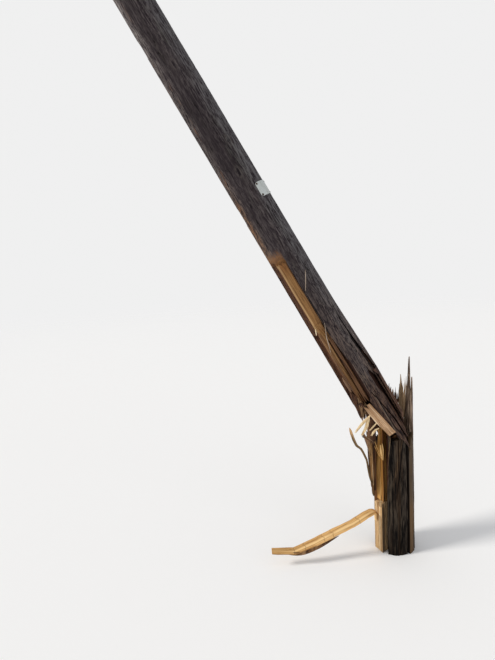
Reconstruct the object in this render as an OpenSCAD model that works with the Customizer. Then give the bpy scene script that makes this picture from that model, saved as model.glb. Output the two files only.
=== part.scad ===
/* [Pole] */
// Height of the standing pole above the ground, measured along its axis
pole_h = 6500; // [5000:50:8000]
// Diameter of the pole at the ground
ground_d = 204; // [180:1:240]
// Diameter of the pole at its head
head_d = 150; // [130:1:176]
// Slope of the sawn head
head_slope = 14; // [5:1:25]
/* [Break] */
// Height of the break, where the two axes cross
break_h = 646; // [560:2:760]
// Lean of the broken shaft from the vertical
lean = 28.5; // [20:0.5:36]
// Distance from the break to the top of the torn trough
trough_top = 1168; // [1100:2:1400]
// Distance from the break to the step where the trough gets deeper
trough_step = 690; // [620:2:760]
// Depth of the torn face below the round of the shaft
trough_depth = 20; // [14:1:28]
// Thickness of the weathered skin that peels off the shaft
skin_t = 12; // [8:1:18]
// Distance from the break to the top of the crack on the right
crack_top = 786; // [740:1:860]
// Height of the tip of the tallest splinter
tall_tip = 1062; // [960:2:1200]
// Height of the tip of the second tall splinter
second_tip = 962; // [880:2:1040]
// Radius of the solid heart of the stump
heart_r = 58; // [50:1:66]
/* [Slab and slat] */
// Length of the torn slab across the break
slab_l = 206; // [170:1:240]
// Width of the torn slab at its widest
slab_w = 45; // [34:1:54]
// Thickness of the torn slab
slab_t = 8; // [5:1:12]
// Width of the slat that bends down to the ground
slat_w = 52; // [36:1:60]
// Thickness of that slat
slat_t = 9; // [6:0.5:13]
/* [Plate] */
// Distance from the break to the middle of the number plate
plate_at = 1475; // [1440:1:2400]
// Height of the plate along the shaft
plate_h = 76; // [60:1:120]
// Angle that the plate wraps round the shaft
plate_wrap = 66; // [50:1:90]
// Radius of the plate's corners
plate_corner = 11; // [4:0.5:14]
// Thickness of the plate
plate_t = 1.2; // [0.8:0.1:2]
// Diameter of a plate nail's head
nail_d = 7; // [5:0.5:9]
/* [Hooks] */
// Diameter of the hook bolts
bolt_d = 14; // [12:1:18]
// Distance from the head down to the upper hook
upper_hook = 250; // [200:5:320]
// Distance between the two hooks
hook_gap = 250; // [200:5:320]
// Inner radius of the hook's eye
eye_r = 20; // [15:1:26]
// Side of the square washers
washer_w = 60; // [50:1:70]
// Thickness of the square washers
washer_t = 5; // [4:0.5:7]

/* [Hidden] */
$fn = 64;

// Angles round the stump at which it has split, turning right from the front
splits = [-110, -88, -50, -34, -19, 1, 28, 34, 70, 94, 124, 140, 176, 225, 250];

// Depth of the dark band torn out beside the strips
band_depth = 16;
// Thickness of the inner strip on the right and of the sliver above it
inner_strip_t = 14;
sliver_t = 30;
// Outward lean of the left shard
left_tilt = 0.6;
// Outward lean of the loose inner strip on the right and of the sliver above it
inner_lean = 0.8;
sliver_lean = 2.1;
// How far the inner strip stands out of the round, and its ends along the shaft
inner_out = 10;
inner_from = 40;
inner_to = 386;
// Length and slope of the torn upper end of the trough
scoop_l = 34;
scoop_slope = 30;
// Heights at which the flared splinters leave their shard and start to bend out
flare_root = 345;
flare_from = 430;
// Angle of the middle of the plank and of the foot below it
plank_turn = (splits[1] + splits[2]) / 2;
// Angle at which the plate's left edge lies
plate_turn = 26.5;
// Inset of the plate's nails from its edges, as an angle and a distance
nail_turn = 5;
nail_inset = 8;
// Height of a nail's head
nail_h = 1.5;
// Reach of a hook's shank past the shaft, and the angle that its eye spans
hook_reach = 40;
eye_span = 300;
// Width and height of the hooks' nuts
nut_w = 26;
nut_h = 12;
// Clearance of the bolts in their bores
bore_clear = 1;
// Width and depth of the long checks that open as the wood dries
check_w = 3.2;
check_depth = 22;
// How much deeper the trough is below its step
step_depth = 14;
// Running clearance between pieces that lie against each other
seat = 0.3;
// Length of the leaning shaft from the break to its head
shaft_l = pole_h - break_h;
// Loss of radius for each millimetre up the pole
taper = (ground_d - head_d) / 2 / pole_h;
// A size larger than any section, for cutting bodies
far = 1300;

// Distance of the plank's torn face and of the foot's face from the axis
plank_face = ground_d / 2 - 16;
foot_face = ground_d / 2 - 2;

weathered = [0.36, 0.31, 0.27];
fresh = [0.80, 0.52, 0.22];
inner_red = [0.45, 0.22, 0.14];
pale = [0.90, 0.72, 0.47];
steel = [0.62, 0.63, 0.64];

// Radius of the pole at a height along its axis
function pole_r(h) = ground_d / 2 - taper * h;
// Radius of the shaft at a distance above the break
function shaft_r(s) = pole_r(break_h + s);
// Radius of the shaft at the break, from which angles become widths
break_r = pole_r(break_h);
// Direction in plan at an angle from the front, turning to the right
function around(a) = [sin(a), -cos(a)];
// A point at an angle, a radius and a height
function at_angle(a, r, z) = [r * sin(a), -r * cos(a), z];
// Outline over the front of the shaft from angles round it and distances up it
function round_front(points) = [for (p = points) [break_r * sin(p[0]), p[1]]];
// Outline of a shard from shares of its half width and distances from the break height
function shard_outline(half_w, points) = concat(
    [[half_w * 1.3, -20], [half_w * 1.3, 1]],
    [for (p = points) [half_w * p[0], break_h + p[1]]],
    [[-half_w * 1.3, 1], [-half_w * 1.3, -20]]
);

// Places its children in the frame of the leaning shaft
module on_shaft() {
    translate([0, 0, break_h]) rotate([0, -lean, 0]) children();
}

// The round of the shaft between two distances from the break, shrunk by a depth
module shaft_round(from_s, to_s, depth = 0) {
    translate([0, 0, from_s])
        cylinder(h = to_s - from_s, r1 = shaft_r(from_s) - depth, r2 = shaft_r(to_s) - depth);
}

// A prism through the front of the shaft with a given outline
module front_prism(points, y_near, y_far) {
    translate([0, y_far, 0]) rotate([90, 0, 0]) linear_extrude(y_far - y_near) polygon(points);
}

// Everything below the mitre where the shaft meets the stump
module below_mitre(lift = 0) {
    translate([0, 0, break_h + lift]) rotate([0, -lean / 2, 0])
        translate([-far, -far, -2 * far]) cube([2 * far, 2 * far, 2 * far]);
}

// Keeps its children below the mitre, with a clearance
module under_shaft(gap = seat) {
    intersection() {
        children();
        below_mitre(-gap);
    }
}

// Room for a skin strip: all that lies outside the shaft's wood behind it
module strip_recess(line, depth) {
    difference() {
        front_prism(line, -far, 0);
        shaft_round(-101, 520, depth);
    }
}

// Prism of one sector of the stump, from the heart outward
module sector(a0, a1, z0, z1, r_in = heart_r, r_out = 220) {
    translate([0, 0, z0]) linear_extrude(z1 - z0) polygon([
        r_in * around(a0), r_out * around(a0), r_out * around(a1), r_in * around(a1)
    ]);
}

// The columns of the tall shards, which the shaft stands clear of
module tall_columns() {
    for (i = [7:11]) sector(splits[i], splits[i + 1], 0, 2 * break_h, heart_r - seat);
}

// A shard of the stump: one sector of the round with a ragged outline.
// Above the break its inner side may draw in toward the skin along inner_line,
// given as radius and distance from the break, and it may lean outward.
module stump_shard(i, points, swell = 0, inner_line = [], tilt = 0) {
    a0 = splits[i];
    a1 = splits[i + 1];
    mid = (a0 + a1) / 2;
    half_w = (break_r + swell) * tan((a1 - a0) / 2);
    top = break_h + max([for (p = points) p[1]]) + 1;
    low_r = pole_r(-10) + swell;
    intersection() {
        rotate([0, 0, mid]) translate([0, -heart_r, 0]) rotate([tilt, 0, 0])
            translate([0, heart_r, 0]) rotate([0, 0, -mid])
            intersection() {
                translate([0, 0, -10]) cylinder(h = top + 10, r1 = low_r, r2 = pole_r(top) + swell);
                sector(a0, a1, -10, top);
                rotate([0, 0, mid]) front_prism(shard_outline(half_w, points), -far, 0);
                if (len(inner_line) > 0) rotate([0, 0, mid - 90]) front_prism(concat([[heart_r - 1, -20]],
                    [for (p = inner_line) [p[0], break_h + p[1]]], [[far, top], [far, -20]]), -far, far);
            }
        translate([-far, -far, 0]) cube([2 * far, 2 * far, 2 * far]);
    }
}

// Corners of a ribbon's section for a half width and a half thickness
function ribbon_section(w, t) = [
    [-w, 0], [-0.7 * w, t], [0.6 * w, t], [w, 0.1 * t], [0.6 * w, -t], [-0.6 * w, -t]
];

function unit(v) = v / norm(v);

// Half the thickness of a ribbon at one of its widths
function ribbon_half(widths, i, t) = t / 2 * (0.35 + 0.65 * widths[i] / max(widths));

// A torn ribbon of wood swept along a path, with its width pointing to one side,
// and to another at its end where it twists
module ribbon(path, widths, t, side, end_side = undef) {
    n = len(path);
    m = 6;
    last_side = is_undef(end_side) ? side : end_side;
    rings = [for (i = [0:n - 1])
        let (
            ahead = unit(path[min(i + 1, n - 1)] - path[max(i - 1, 0)]),
            flat = unit(cross(ahead, side + (last_side - side) * i / (n - 1))),
            wide = unit(cross(flat, ahead)),
            section = ribbon_section(widths[i] / 2, ribbon_half(widths, i, t))
        )
        [for (c = section) path[i] + c[0] * wide + c[1] * flat]
    ];
    corners = [for (ring = rings) for (c = ring) c];
    walls = [for (i = [0:n - 2]) for (j = [0:m - 1])
        let (k = (j + 1) % m)
        each [[i * m + j, i * m + k, (i + 1) * m + k], [i * m + j, (i + 1) * m + k, (i + 1) * m + j]]
    ];
    near_cap = [for (j = [1:m - 2]) [0, j + 1, j]];
    far_cap = [for (j = [1:m - 2]) [(n - 1) * m, (n - 1) * m + j, (n - 1) * m + j + 1]];
    polyhedron(points = corners, faces = concat(walls, near_cap, far_cap), convexity = 6);
}

// Outlines over the front of the shaft, as angles and distances from the break
front_strip_line = round_front([[-11, 255], [-2, 290], [4, 296], [11.5, 243], [16.5, 190], [21, 142],
    [25, 93], [26, 0], [21.5, -86], [16, -30], [10, 50], [-4, 120]]);
middle_strip_line = round_front([[8, 291], [14, 300], [29, 290], [35, 250], [40, 120], [37, -25],
    [32, 0], [31, 93], [25.5, 142], [20, 190], [14, 243]]);
// The black split between those two
split_line = round_front([[3.5, 300], [8, 296], [14, 244], [20, 191], [25.5, 143], [31, 94], [32, 0],
    [31, -60], [26, -60], [26, 0], [25, 92], [21, 141], [16.5, 189], [11.5, 242]]);
// The loose strip beside them, narrower by a clearance on each side
function inner_strip_line(less) = [[0.63 * break_r + less, inner_to - less],
    [1.4 * break_r, inner_to - less],
    [1.4 * break_r, inner_from], [0.80 * break_r + less, inner_from], [0.79 * break_r + less, 350]];
// The dark band torn out between it and the middle strip
band_line = round_front([[33, 418], [37, 402], [52, 352], [54, 40], [52, -60], [45, -60], [45, 90],
    [42, 230], [36.5, 262], [31, 300], [30, 380]]);

// Corners of the torn floor of the trough, each deeper by an amount
function floor_near(deeper) = [-0.22 * break_r + 0.6 * deeper, -break_r + trough_depth + deeper];
function floor_ridge(deeper) = [-0.70 * break_r + deeper, -0.50 * break_r];
function floor_left(deeper) = [-0.92 * break_r + deeper, -0.05 * break_r];
function trough_section(deeper) = [
    [-0.31 * break_r + 3.2 * deeper, -1.3 * break_r],
    floor_near(deeper),
    floor_ridge(deeper),
    floor_left(deeper),
    [-1.3 * break_r, 0.02 * break_r],
    [-1.3 * break_r, -1.3 * break_r]
];
// A point a share of the way from a to b, lifted off that line to the outside
function lifted(a, b, share, lift) = a + share * (b - a) + lift * [a[1] - b[1],
    b[0] - a[0]] / norm(b - a);

// Distance of the torn floor from the axis, and of its fold where the scoop starts
floor_r = abs(cross(floor_near(0), floor_ridge(0))) / norm(floor_ridge(0) - floor_near(0));
scoop_from = trough_top - scoop_l;
fold = floor_r * tan(scoop_slope / 2);

// Tilts its children outward with the floor of the scoop
module scooped() {
    across = floor_near(0) - floor_ridge(0);
    translate([0, 0, scoop_from]) rotate(a = scoop_slope, v = [across[0], across[1], 0])
        translate([0, 0, fold - 1]) children();
}

module trough() {
    translate([0, 0, trough_step]) linear_extrude(scoop_from - fold - trough_step)
        polygon(trough_section(0));
    scooped() linear_extrude(3 * scoop_l) polygon(trough_section(0));
    translate([0, 0, -200]) linear_extrude(trough_step + 200) polygon(trough_section(step_depth));
}

// The open side of the break, left of the front strips
module left_void() {
    front_prism(round_front([[-4, 120], [-11, 255], [-34, 262], [-60, 200], [-89, 150]]), -far, 0.1);
    torn_steps();
    left_tear();
}

// Inner wood torn away in steps, each given by two places across, a depth and a top
module torn_steps() {
    steps = [[-62, -46, 0.16, 258], [-46, -37, 0.34, 226], [-37, -24, 0.22, 264], [-24, -11, 0.38, 240],
        [-11, 0, 0.26, 256], [0, 10, 0.12, 70]];
    for (p = steps) {
        middle = (p[0] + p[1]) / 2;
        front_prism([[p[0], -far], [p[1], -far], [p[1], p[3] - 30], [middle, p[3]], [p[0], p[3] - 12]],
            -far, p[2] * break_r);
    }
    front_prism([[-far, -far], [-61, -far], [-61, 258], [-far, 150]], -far, 0.16 * break_r);
}

// The left side of the shaft, torn off right through with a ragged end
module left_tear() {
    front_prism([[-far, -far], [-60, -far], [-60, 70], [-64, 160], [-67, 206], [-71, 168], [-76, 236],
        [-83, 190], [-89, 246], [-94, 204], [-99, 264], [-far, 270]], -far, far);
}

// The wood right of the long crack, whose left edge draws away from the front as it runs down
module crack_wedge(back) {
    front_prism([[0.62 * break_r, crack_top], [0.66 * break_r, 650], [0.70 * break_r, 590],
        [0.76 * break_r, 508], [0.83 * break_r, 441], [0.86 * break_r, inner_to + 2],
        [1.4 * break_r, inner_to + 2], [1.4 * break_r, crack_top]], -far, back);
}

module leaning_shaft() {
    color(weathered) difference() {
        on_shaft() difference() {
            shaft_round(-80, shaft_l);
            trough();
            left_void();
            translate([0, 0, shaft_l]) rotate([0, head_slope, 0])
                translate([-far, -far, 0]) cube([2 * far, 2 * far, far]);
            difference() {
                crack_wedge(0);
                shaft_round(-80, crack_top + 10, sliver_t + 2);
            }
            strip_recess(front_strip_line, skin_t + seat);
            strip_recess(middle_strip_line, skin_t + seat);
            strip_recess(split_line, band_depth);
            strip_recess(band_line, band_depth);
            inner_strip(0, 1.5 * seat);
        }
        below_mitre();
        tall_columns();
        hook_bores();
        on_shaft() drying_checks();
    }
}

module front_skin_strip() {
    color(weathered) on_shaft() intersection() {
        shaft_round(-100, 320);
        strip_recess(front_strip_line, skin_t);
    }
}

module middle_skin_strip() {
    color(weathered) on_shaft() intersection() {
        shaft_round(-100, 320);
        strip_recess(middle_strip_line, skin_t);
    }
}

module right_edge_sliver() {
    edge = 0.8 * break_r;
    color(weathered) on_shaft()
        translate([edge, 0, crack_top]) rotate([0, -sliver_lean, 0]) translate([-edge, 0, -crack_top])
        intersection() {
            shaft_round(300, crack_top - 2);
            difference() {
                crack_wedge(-seat);
                shaft_round(299, crack_top + 10, sliver_t);
            }
            front_prism([[0, crack_top], [1.4 * break_r, crack_top], [1.4 * break_r, inner_to + 1],
                [0.96 * break_r, inner_to + 1], [0.93 * break_r, inner_to + 10],
                [0.90 * break_r, inner_to + 3], [0.86 * break_r, inner_to + 22],
                [0.84 * break_r, inner_to + 14], [0.80 * break_r, inner_to + 44],
                [0, inner_to + 44]], -far, far);
        }
}

// The loose strip in its place, its line drawn in by a clearance and its back thickened by another
module inner_strip(less, more) {
    edge = 0.8 * break_r;
    translate([edge + inner_out, 0, inner_from]) rotate([0, inner_lean, 0]) translate([-edge, 0,
        -inner_from])
        intersection() {
            shaft_round(inner_from, inner_to - less);
            strip_recess(inner_strip_line(less), inner_strip_t + more);
        }
}

module right_inner_strip() {
    color(fresh) difference() {
        on_shaft() inner_strip(seat, 0);
        tall_columns();
    }
}

// The smooth layer of fresh wood on the floor of the upper trough, torn off above the step
module golden_layer() {
    near = floor_near(0);
    ridge = floor_ridge(0);
    layer = [lifted(near, ridge, 0.03, seat), lifted(near, ridge, 1, seat), lifted(near, ridge, 1.02,
        3.5),
        lifted(near, ridge, 0.5, 6), lifted(near, ridge, 0.05, 5)];
    from = trough_step + 3;
    to = scoop_from - fold - 1;
    color(fresh) on_shaft() difference() {
        translate([0, 0, from]) linear_extrude(to - from) polygon(layer);
        front_prism([[-far, from - 1], [-14, from - 1], [-22, from + 16], [-29, from + 3],
            [-36, from + 11], [-43, from + 2], [-49, from + 27], [-55, from + 5], [-61, from + 14],
            [-66, from + 1], [-72, from + 30], [-78, from + 22], [-far, from + 40]], -far, far);
        front_prism([[-far, to + 1], [-10, to + 1], [-10, to - 9], [-22, to - 2], [-30, to - 13],
            [-38, to - 4], [-47, to - 16], [-56, to - 3], [-63, to - 12], [-70, to - 5],
            [-far, to - 20]], -far, far);
    }
}

module golden_sliver() {
    near = floor_near(step_depth);
    ridge = floor_ridge(step_depth);
    left = floor_left(step_depth);
    color(fresh) on_shaft() difference() {
        translate([0, 0, 232]) linear_extrude(trough_step - 232 - seat) polygon([
            lifted(near, ridge, 0.62, seat), lifted(near, ridge, 1, seat), lifted(ridge, left, 0, seat),
            lifted(ridge, left, 0.45, seat), lifted(ridge, left, 0.35, 9), lifted(ridge, left, -0.15, 13),
            lifted(near, ridge, 0.66, 11)
        ]);
        front_prism([[-100, 200], [-30, 200], [-34, 262], [-42, 236], [-50, 330], [-56, 250],
            [-64, 300], [-80, 420], [-100, 420]], -far, far);
    }
}

module brown_sliver() {
    near = floor_near(step_depth);
    ridge = floor_ridge(step_depth);
    color(fresh) on_shaft() difference() {
        translate([0, 0, 250]) linear_extrude(trough_step - 250 - seat) polygon([
            lifted(near, ridge, 0.04, seat), lifted(near, ridge, 0.54, seat), lifted(near, ridge, 0.5,
                10),
            lifted(near, ridge, 0.1, 12)
        ]);
        front_prism([[-80, 200], [-4, 200], [-12, 300], [-17, 262], [-24, 256], [-31, 292],
            [-37, 252], [-44, 340], [-80, 340]], -far, far);
    }
}

module left_hanging_splinters() {
    ridge = floor_ridge(step_depth);
    left = floor_left(step_depth);
    side = [left[0] - ridge[0], left[1] - ridge[1], 0];
    outer_w = [8, 20, 26, 18, 3];
    inner_w = [9, 13, 12, 2];
    outer = lifted(ridge, left, 0.76, ribbon_half(outer_w, 1, 8) + seat);
    inner = lifted(ridge, left, 0.42, ribbon_half(inner_w, 1, 6) + seat);
    color(inner_red) on_shaft() {
        ribbon([[outer[0], outer[1], 420], [outer[0], outer[1], 330], [outer[0] - 6, outer[1], 280],
            [-90, -24, 226], [-101, -28, 160]], outer_w, 8, side);
        ribbon([[inner[0], inner[1], 286], [inner[0], inner[1], 262], [inner[0] - 5, inner[1] - 2, 226],
            [inner[0] - 12, inner[1] - 4, 172]], inner_w, 6, side);
    }
}

module torn_slab() {
    half_w = slab_w / 2;
    half_l = slab_l / 2;
    color(pale) translate([-96, -break_r - slab_t / 2 - seat, break_h + 115]) rotate([0, -39.6, 0])
        front_prism([
            [-0.74 * half_w, -0.95 * half_l], [half_w, -half_l], [half_w, half_l],
            [0.2 * half_w, 1.04 * half_l], [0, 0.82 * half_l], [-0.62 * half_w, 1.08 * half_l],
            [-0.78 * half_w, 0.7 * half_l],
            [-0.86 * half_w, 0.46 * half_l], [-0.98 * half_w, 0.1 * half_l],
            [-0.86 * half_w, -0.4 * half_l]
        ], -slab_t / 2, slab_t / 2);
}

// A fibre peeled from behind the slab: its places are given across,
// forward from the slab's back and above the break
module slab_fibre(widths, places, side, end_side) {
    t = 4;
    back = -break_r + ribbon_half(widths, 1, t) + seat;
    ribbon([for (p = places) [p[0], back - p[1], break_h + p[2]]], widths, t, side, end_side);
}

module slab_fibres() {
    color(pale) {
        slab_fibre([13, 14, 15, 18], [[-118, 0, 158], [-146, 0, 138], [-188, 2, 100], [-226, 8, 52]],
            [1, 0, 1], [1, 0, 1]);
        slab_fibre([12, 13, 16, 28], [[-128, 0, 128], [-147, 0, 118], [-161, 1.5, 88], [-183, 7, 42]],
            [1, 0, 0.3], [1, 0, 0.3]);
        slab_fibre([12, 13, 10], [[-92, 0, 106], [-112, 0, 94], [-150, 3, 64]], [1, 0, 1], [1, 0, 1]);
        slab_fibre([9, 9, 13, 20], [[-66, 0, 70], [-92, 0, 76], [-126, 1, 68], [-137, 4, 44]],
            [0.5, 0, 1], [1, 0, 0.2]);
    }
}

// A thin hair of pale wood: each point is an angle, a lift off the skin and a distance
module skin_hair(points, widths, side) {
    ribbon([for (p = points) at_angle(p[0], shaft_r(p[2]) + p[1], p[2])], widths, 2, side);
}

module skin_hairs() {
    upper = [[23, 1.6, 1018], [9, 5, 976], [-9, 4, 928]];
    lower = [[-9, 1.5, 738], [-16, 3, 706], [-26, 4, 668], [-33, 2, 620], [-47, -4, 567]];
    color(pale) on_shaft() {
        skin_hair(upper, [2.5, 5, 3], [1, 0.2, 0]);
        skin_hair(lower, [3, 4, 3.5, 4, 2], [1, 0.4, 0]);
    }
}

module stump_heart() {
    color(inner_red) under_shaft(0) linear_extrude(break_h + 60)
        polygon([for (a = splits) heart_r * around(a)]);
}

module front_left_shard() {
    color(weathered) stump_shard(3, [[0.95, -260], [0.8, -40], [0.1, 24], [-0.4, 42], [-0.9, 0],
        [-0.95, -240]]);
}

// The front shards end behind the skin strips that hang over them
module front_middle_shard() {
    color(weathered) under_shaft() difference() {
        stump_shard(4, [[0.96, -260], [0.86, 0], [0.2, 30], [-0.86, 0], [-0.96, -260]]);
        on_shaft() strip_recess(front_strip_line, skin_t + seat);
    }
}

module front_right_shard() {
    color(weathered) under_shaft() difference() {
        stump_shard(5, [[0.96, -260], [0.86, 0], [0, 30], [-0.86, 0], [-0.96, -260]]);
        on_shaft() strip_recess(front_strip_line, skin_t + seat);
        on_shaft() strip_recess(middle_strip_line, skin_t + seat);
    }
}

module right_outer_strip() {
    color(fresh) difference() {
        stump_shard(7, [[0.9, -200], [0.75, -10], [0.5, 24], [0.2, -30], [-0.3, 8], [-0.9, -100]], 7,
            [[heart_r - 1, -250], [80, -60], [92, 30]]);
        on_shaft() strip_recess(front_strip_line, skin_t + seat);
    }
}

module second_tall_splinter() {
    color(weathered) stump_shard(8, [[0.85, -100], [0.6, 100], [0.1, second_tip - break_h],
        [-0.2, 200], [-0.8, -100]], 9,
        [[heart_r - 1, -200], [84, 20], [88, 84], [98, 233], [103, second_tip - break_h + 2]]);
}

module tall_splinter() {
    color(weathered) stump_shard(9, [[0.85, -100], [0.6, 120], [0.2, tall_tip - break_h], [-0.1, 260],
        [-0.8, -100]], 4,
        [[heart_r - 1, -250], [70, 0], [78, 80], [86, 220], [92, 300], [97, tall_tip - break_h + 2]], 1);
}

module yellow_splinters() {
    color(pale) stump_shard(10, [[0.9, -100], [0.85, 150], [0.6, 262], [0.45, 230], [0.2, 316], [0, 290],
        [-0.15, 205], [-0.35, 268], [-0.6, 190], [-0.75, 214], [-0.9, 90], [-0.95, -100]], 0,
        [[heart_r - 1, -200], [76, 40], [86, 200], [92, 318]]);
}

module ragged_back_shards() {
    color(inner_red) stump_shard(11, [[0.9, -100], [0.88, 200], [0.7, 262], [0.6, 216], [0.42, 244],
        [0.3, 206],
        [0.1, 232], [-0.1, 186], [-0.3, 214], [-0.5, 152], [-0.66, 188], [-0.9, 60], [-0.95, -100]]);
}

module back_shard() {
    color(weathered) under_shaft() {
        stump_shard(12, [[0.95, -200], [0.85, -20], [0.4, -60], [0, 0], [-0.5, -70], [-0.85, -10],
            [-0.95, -200]]);
    }
}

module back_left_shard() {
    color(weathered) under_shaft() stump_shard(13, [[0.95, -200], [0.85, -60], [0.3, -20], [-0.3, -90],
        [-0.9, -40], [-0.95, -200]]);
}

module left_shard() {
    color(inner_red) stump_shard(0, [[0.95, -200], [0.7, -80], [0.3, -10], [-0.2, -60], [-0.9, -100],
        [-0.95, -200]],
        0, [[heart_r - 1, -300], [80, -60], [94, 0]], left_tilt);
}

// Distance of the left shard's leaning face from the axis at a height
function left_face(h) = pole_r(h) + h * tan(left_tilt);

// How far a flared splinter stands out at a height, from its reach at the break
function flare(h, reach) = reach * pow(max(0, h - flare_from) / (break_h - flare_from), 2);

// A splinter that flares out of the left shard: its angle, its turn to the front,
// the height of its tip above the break and its reach
module flared(a, turn, rise, reach, widths) {
    t = 5;
    rows = len(widths) - 1;
    out = around(a);
    path = [for (k = [0:rows])
        let (h = flare_root + (break_h + rise - flare_root) * k / rows)
        at_angle(a + turn * k / rows, left_face(h) + ribbon_half(widths, k, t) + seat + flare(h,
            reach), h)];
    ribbon(path, widths, t, [-out[1], out[0], 0], [0.75, -0.65, 0]);
}

module flared_splinters() {
    color(inner_red) {
        flared(-105, 17, 16, 44, [6, 8, 9, 12, 19, 24, 5]);
        flared(-98.5, 17, 32, 30, [6, 8, 9, 13, 18, 17, 4]);
        flared(-92, 14, 18, 20, [6, 8, 10, 14, 18, 20, 4]);
    }
}

module orange_plank() {
    color(fresh) intersection() {
        sector(splits[1], splits[2], 288, break_h + 60, heart_r, break_r);
        rotate([0, 0, plank_turn]) front_prism([[-60, 288], [60, 288], [60, 300],
            [36, break_h], [22, break_h + 58], [4, break_h + 40], [-8, break_h + 52], [-16, break_h - 20],
            [-34, break_h - 80], [-60, 400]], -plank_face, 0);
    }
}

module plank_sliver() {
    d = plank_face + 2.5 + seat;
    color(pale) rotate([0, 0, plank_turn]) ribbon([[14, -d, 606], [18, -d, 570], [24, -d, 531]],
        [10, 12, 3], 5, [1, 0, 0]);
}

module foot_shard() {
    color(fresh) intersection() {
        sector(splits[1], splits[2], 0, 300, heart_r, 130);
        rotate([0, 0, plank_turn]) front_prism([[-60, -1], [60, -1], [60, 240], [24, 286], [4, 262],
            [-14, 284], [-60, 250]],
            -foot_face, 0);
    }
}

module ground_slat() {
    out = around(plank_turn);
    root = (foot_face + slat_t / 2 + 2 * seat) * out - 20 * [-out[1], out[0]];
    color(fresh) ribbon([[root[0], root[1], 166], [root[0], root[1], 196],
        [root[0] - 5, root[1] - 3, 218],
        [-128, -44, 230], [-170, -66, 224], [-250, -92, 192], [-350, -104, 154], [-450, -116, 114],
        [-570, -128, 74], [-690, -138, 86]],
        [20, 34, 43, 49, 52, 52, 52, 50, 42, 34] * slat_w / 52, slat_t,
        [0.3, -0.95, 0], [0.2, -0.8, -0.6]);
}

module hooked_splinter() {
    color(fresh) ribbon([at_angle(-93, left_face(296) + 3.8, 296), [-122, -30, 380], [-143, -60, 440],
        [-158, -62, 534], [-186, -60, 595], [-209, -60, 615],
        [-224, -60, 648], [-245, -60, 715]], [7, 9, 10, 11, 12, 14, 15, 4], 5, [1, 0, 0]);
}

// Distance of the plate's back from the axis of the shaft
plate_r = shaft_r(plate_at) + 0.2;
// A flat shape cut right through the shaft at the plate, facing its middle
module through_plate() {
    translate([0, 0, plate_at]) rotate([0, 0, plate_turn + plate_wrap / 2]) rotate([90, 0, 0])
        linear_extrude(far) children();
}

// Outline of a rectangle with round corners
function rounded_corners(half_w, half_h, r) = [for (corner = [0:3], step = [0:4])
    let (a = 90 * corner + 22.5 * step, x = corner == 0 || corner == 3 ? 1 : -1, y = corner < 2 ? 1 : -1)
    [x * (half_w - r) + r * cos(a), y * (half_h - r) + r * sin(a)]
];

module number_plate() {
    color("white") on_shaft() intersection() {
        translate([0, 0, plate_at - plate_h]) difference() {
            cylinder(h = 2 * plate_h, r = plate_r + plate_t);
            translate([0, 0, -1]) cylinder(h = 2 * plate_h + 2, r = plate_r);
        }
        through_plate() polygon(rounded_corners((plate_r + plate_t) * sin(plate_wrap / 2), plate_h / 2,
            plate_corner));
    }
}

module plate_nails() {
    r = plate_r + plate_t;
    color(inner_red) on_shaft()
        for (a = [plate_turn + nail_turn, plate_turn + plate_wrap - nail_turn], s = [-1, 1])
            translate([0, 0, plate_at + s * (plate_h / 2 - nail_inset)]) rotate([0, 0,
                a]) translate([0, -r, 0])
            rotate([90, 0, 0]) cylinder(h = nail_h, d = nail_d);
}

upper_at = shaft_l - upper_hook;
lower_at = upper_at - hook_gap;

module hook_bores() {
    for (at = [upper_at, lower_at]) on_shaft() translate([0, 0, at]) rotate([90, 0, 0])
        cylinder(h = 2 * far, d = bolt_d + bore_clear, center = true);
}

// A long check in the skin: the angle where it runs and its ends as shares of the shaft's length
module drying_check(a, from_share, to_share) {
    from = from_share * shaft_l;
    to = to_share * shaft_l;
    third = (to - from) / 3;
    rotate([0, 0, a]) translate([0, -shaft_r(from) + check_depth, 0])
        front_prism([[0, from], [check_w / 2, from + third], [check_w / 2, to - third], [0, to],
            [-check_w / 2, to - third], [-check_w / 2, from + third]], -far, 0);
}

module drying_checks() {
    drying_check(-32, 0.27, 0.45);
    drying_check(4, 0.30, 0.67);
    drying_check(46, 0.39, 0.80);
    drying_check(-68, 0.50, 0.89);
    drying_check(118, 0.21, 0.53);
    drying_check(158, 0.12, 0.43);
    drying_check(205, 0.46, 0.84);
    drying_check(-112, 0.24, 0.48);
}

module hook_bolt(at) {
    r = shaft_r(at) + hook_reach;
    on_shaft() translate([0, 0, at]) {
        rotate([90, 0, 0]) translate([0, 0, -r]) cylinder(h = 2 * r, d = bolt_d);
        translate([0, r + eye_r, 0]) rotate([90, 0, 90])
            rotate_extrude(angle = eye_span) translate([eye_r, 0]) circle(d = bolt_d);
    }
}

module hook_washers(at) {
    r = shaft_r(at) + washer_t / 2 + seat;
    on_shaft() for (side = [-1, 1]) translate([0, side * r, at]) rotate([90, 0, 0]) difference() {
        cube([washer_w, washer_w, washer_t], center = true);
        cylinder(h = washer_t + 2, d = bolt_d + bore_clear, center = true);
    }
}

module hook_nut(at) {
    r = shaft_r(at) + washer_t + seat;
    on_shaft() translate([0, -r, at]) rotate([90, 0, 0]) difference() {
        cylinder(h = nut_h, d = nut_w, $fn = 6);
        translate([0, 0, -1]) cylinder(h = nut_h + 2, d = bolt_d);
    }
}

module upper_hook_bolt() { color(steel) hook_bolt(upper_at); }
module upper_hook_washers() { color(steel) hook_washers(upper_at); }
module upper_hook_nut() { color(steel) hook_nut(upper_at); }
module lower_hook_bolt() { color(steel) hook_bolt(lower_at); }
module lower_hook_washers() { color(steel) hook_washers(lower_at); }
module lower_hook_nut() { color(steel) hook_nut(lower_at); }

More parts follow.
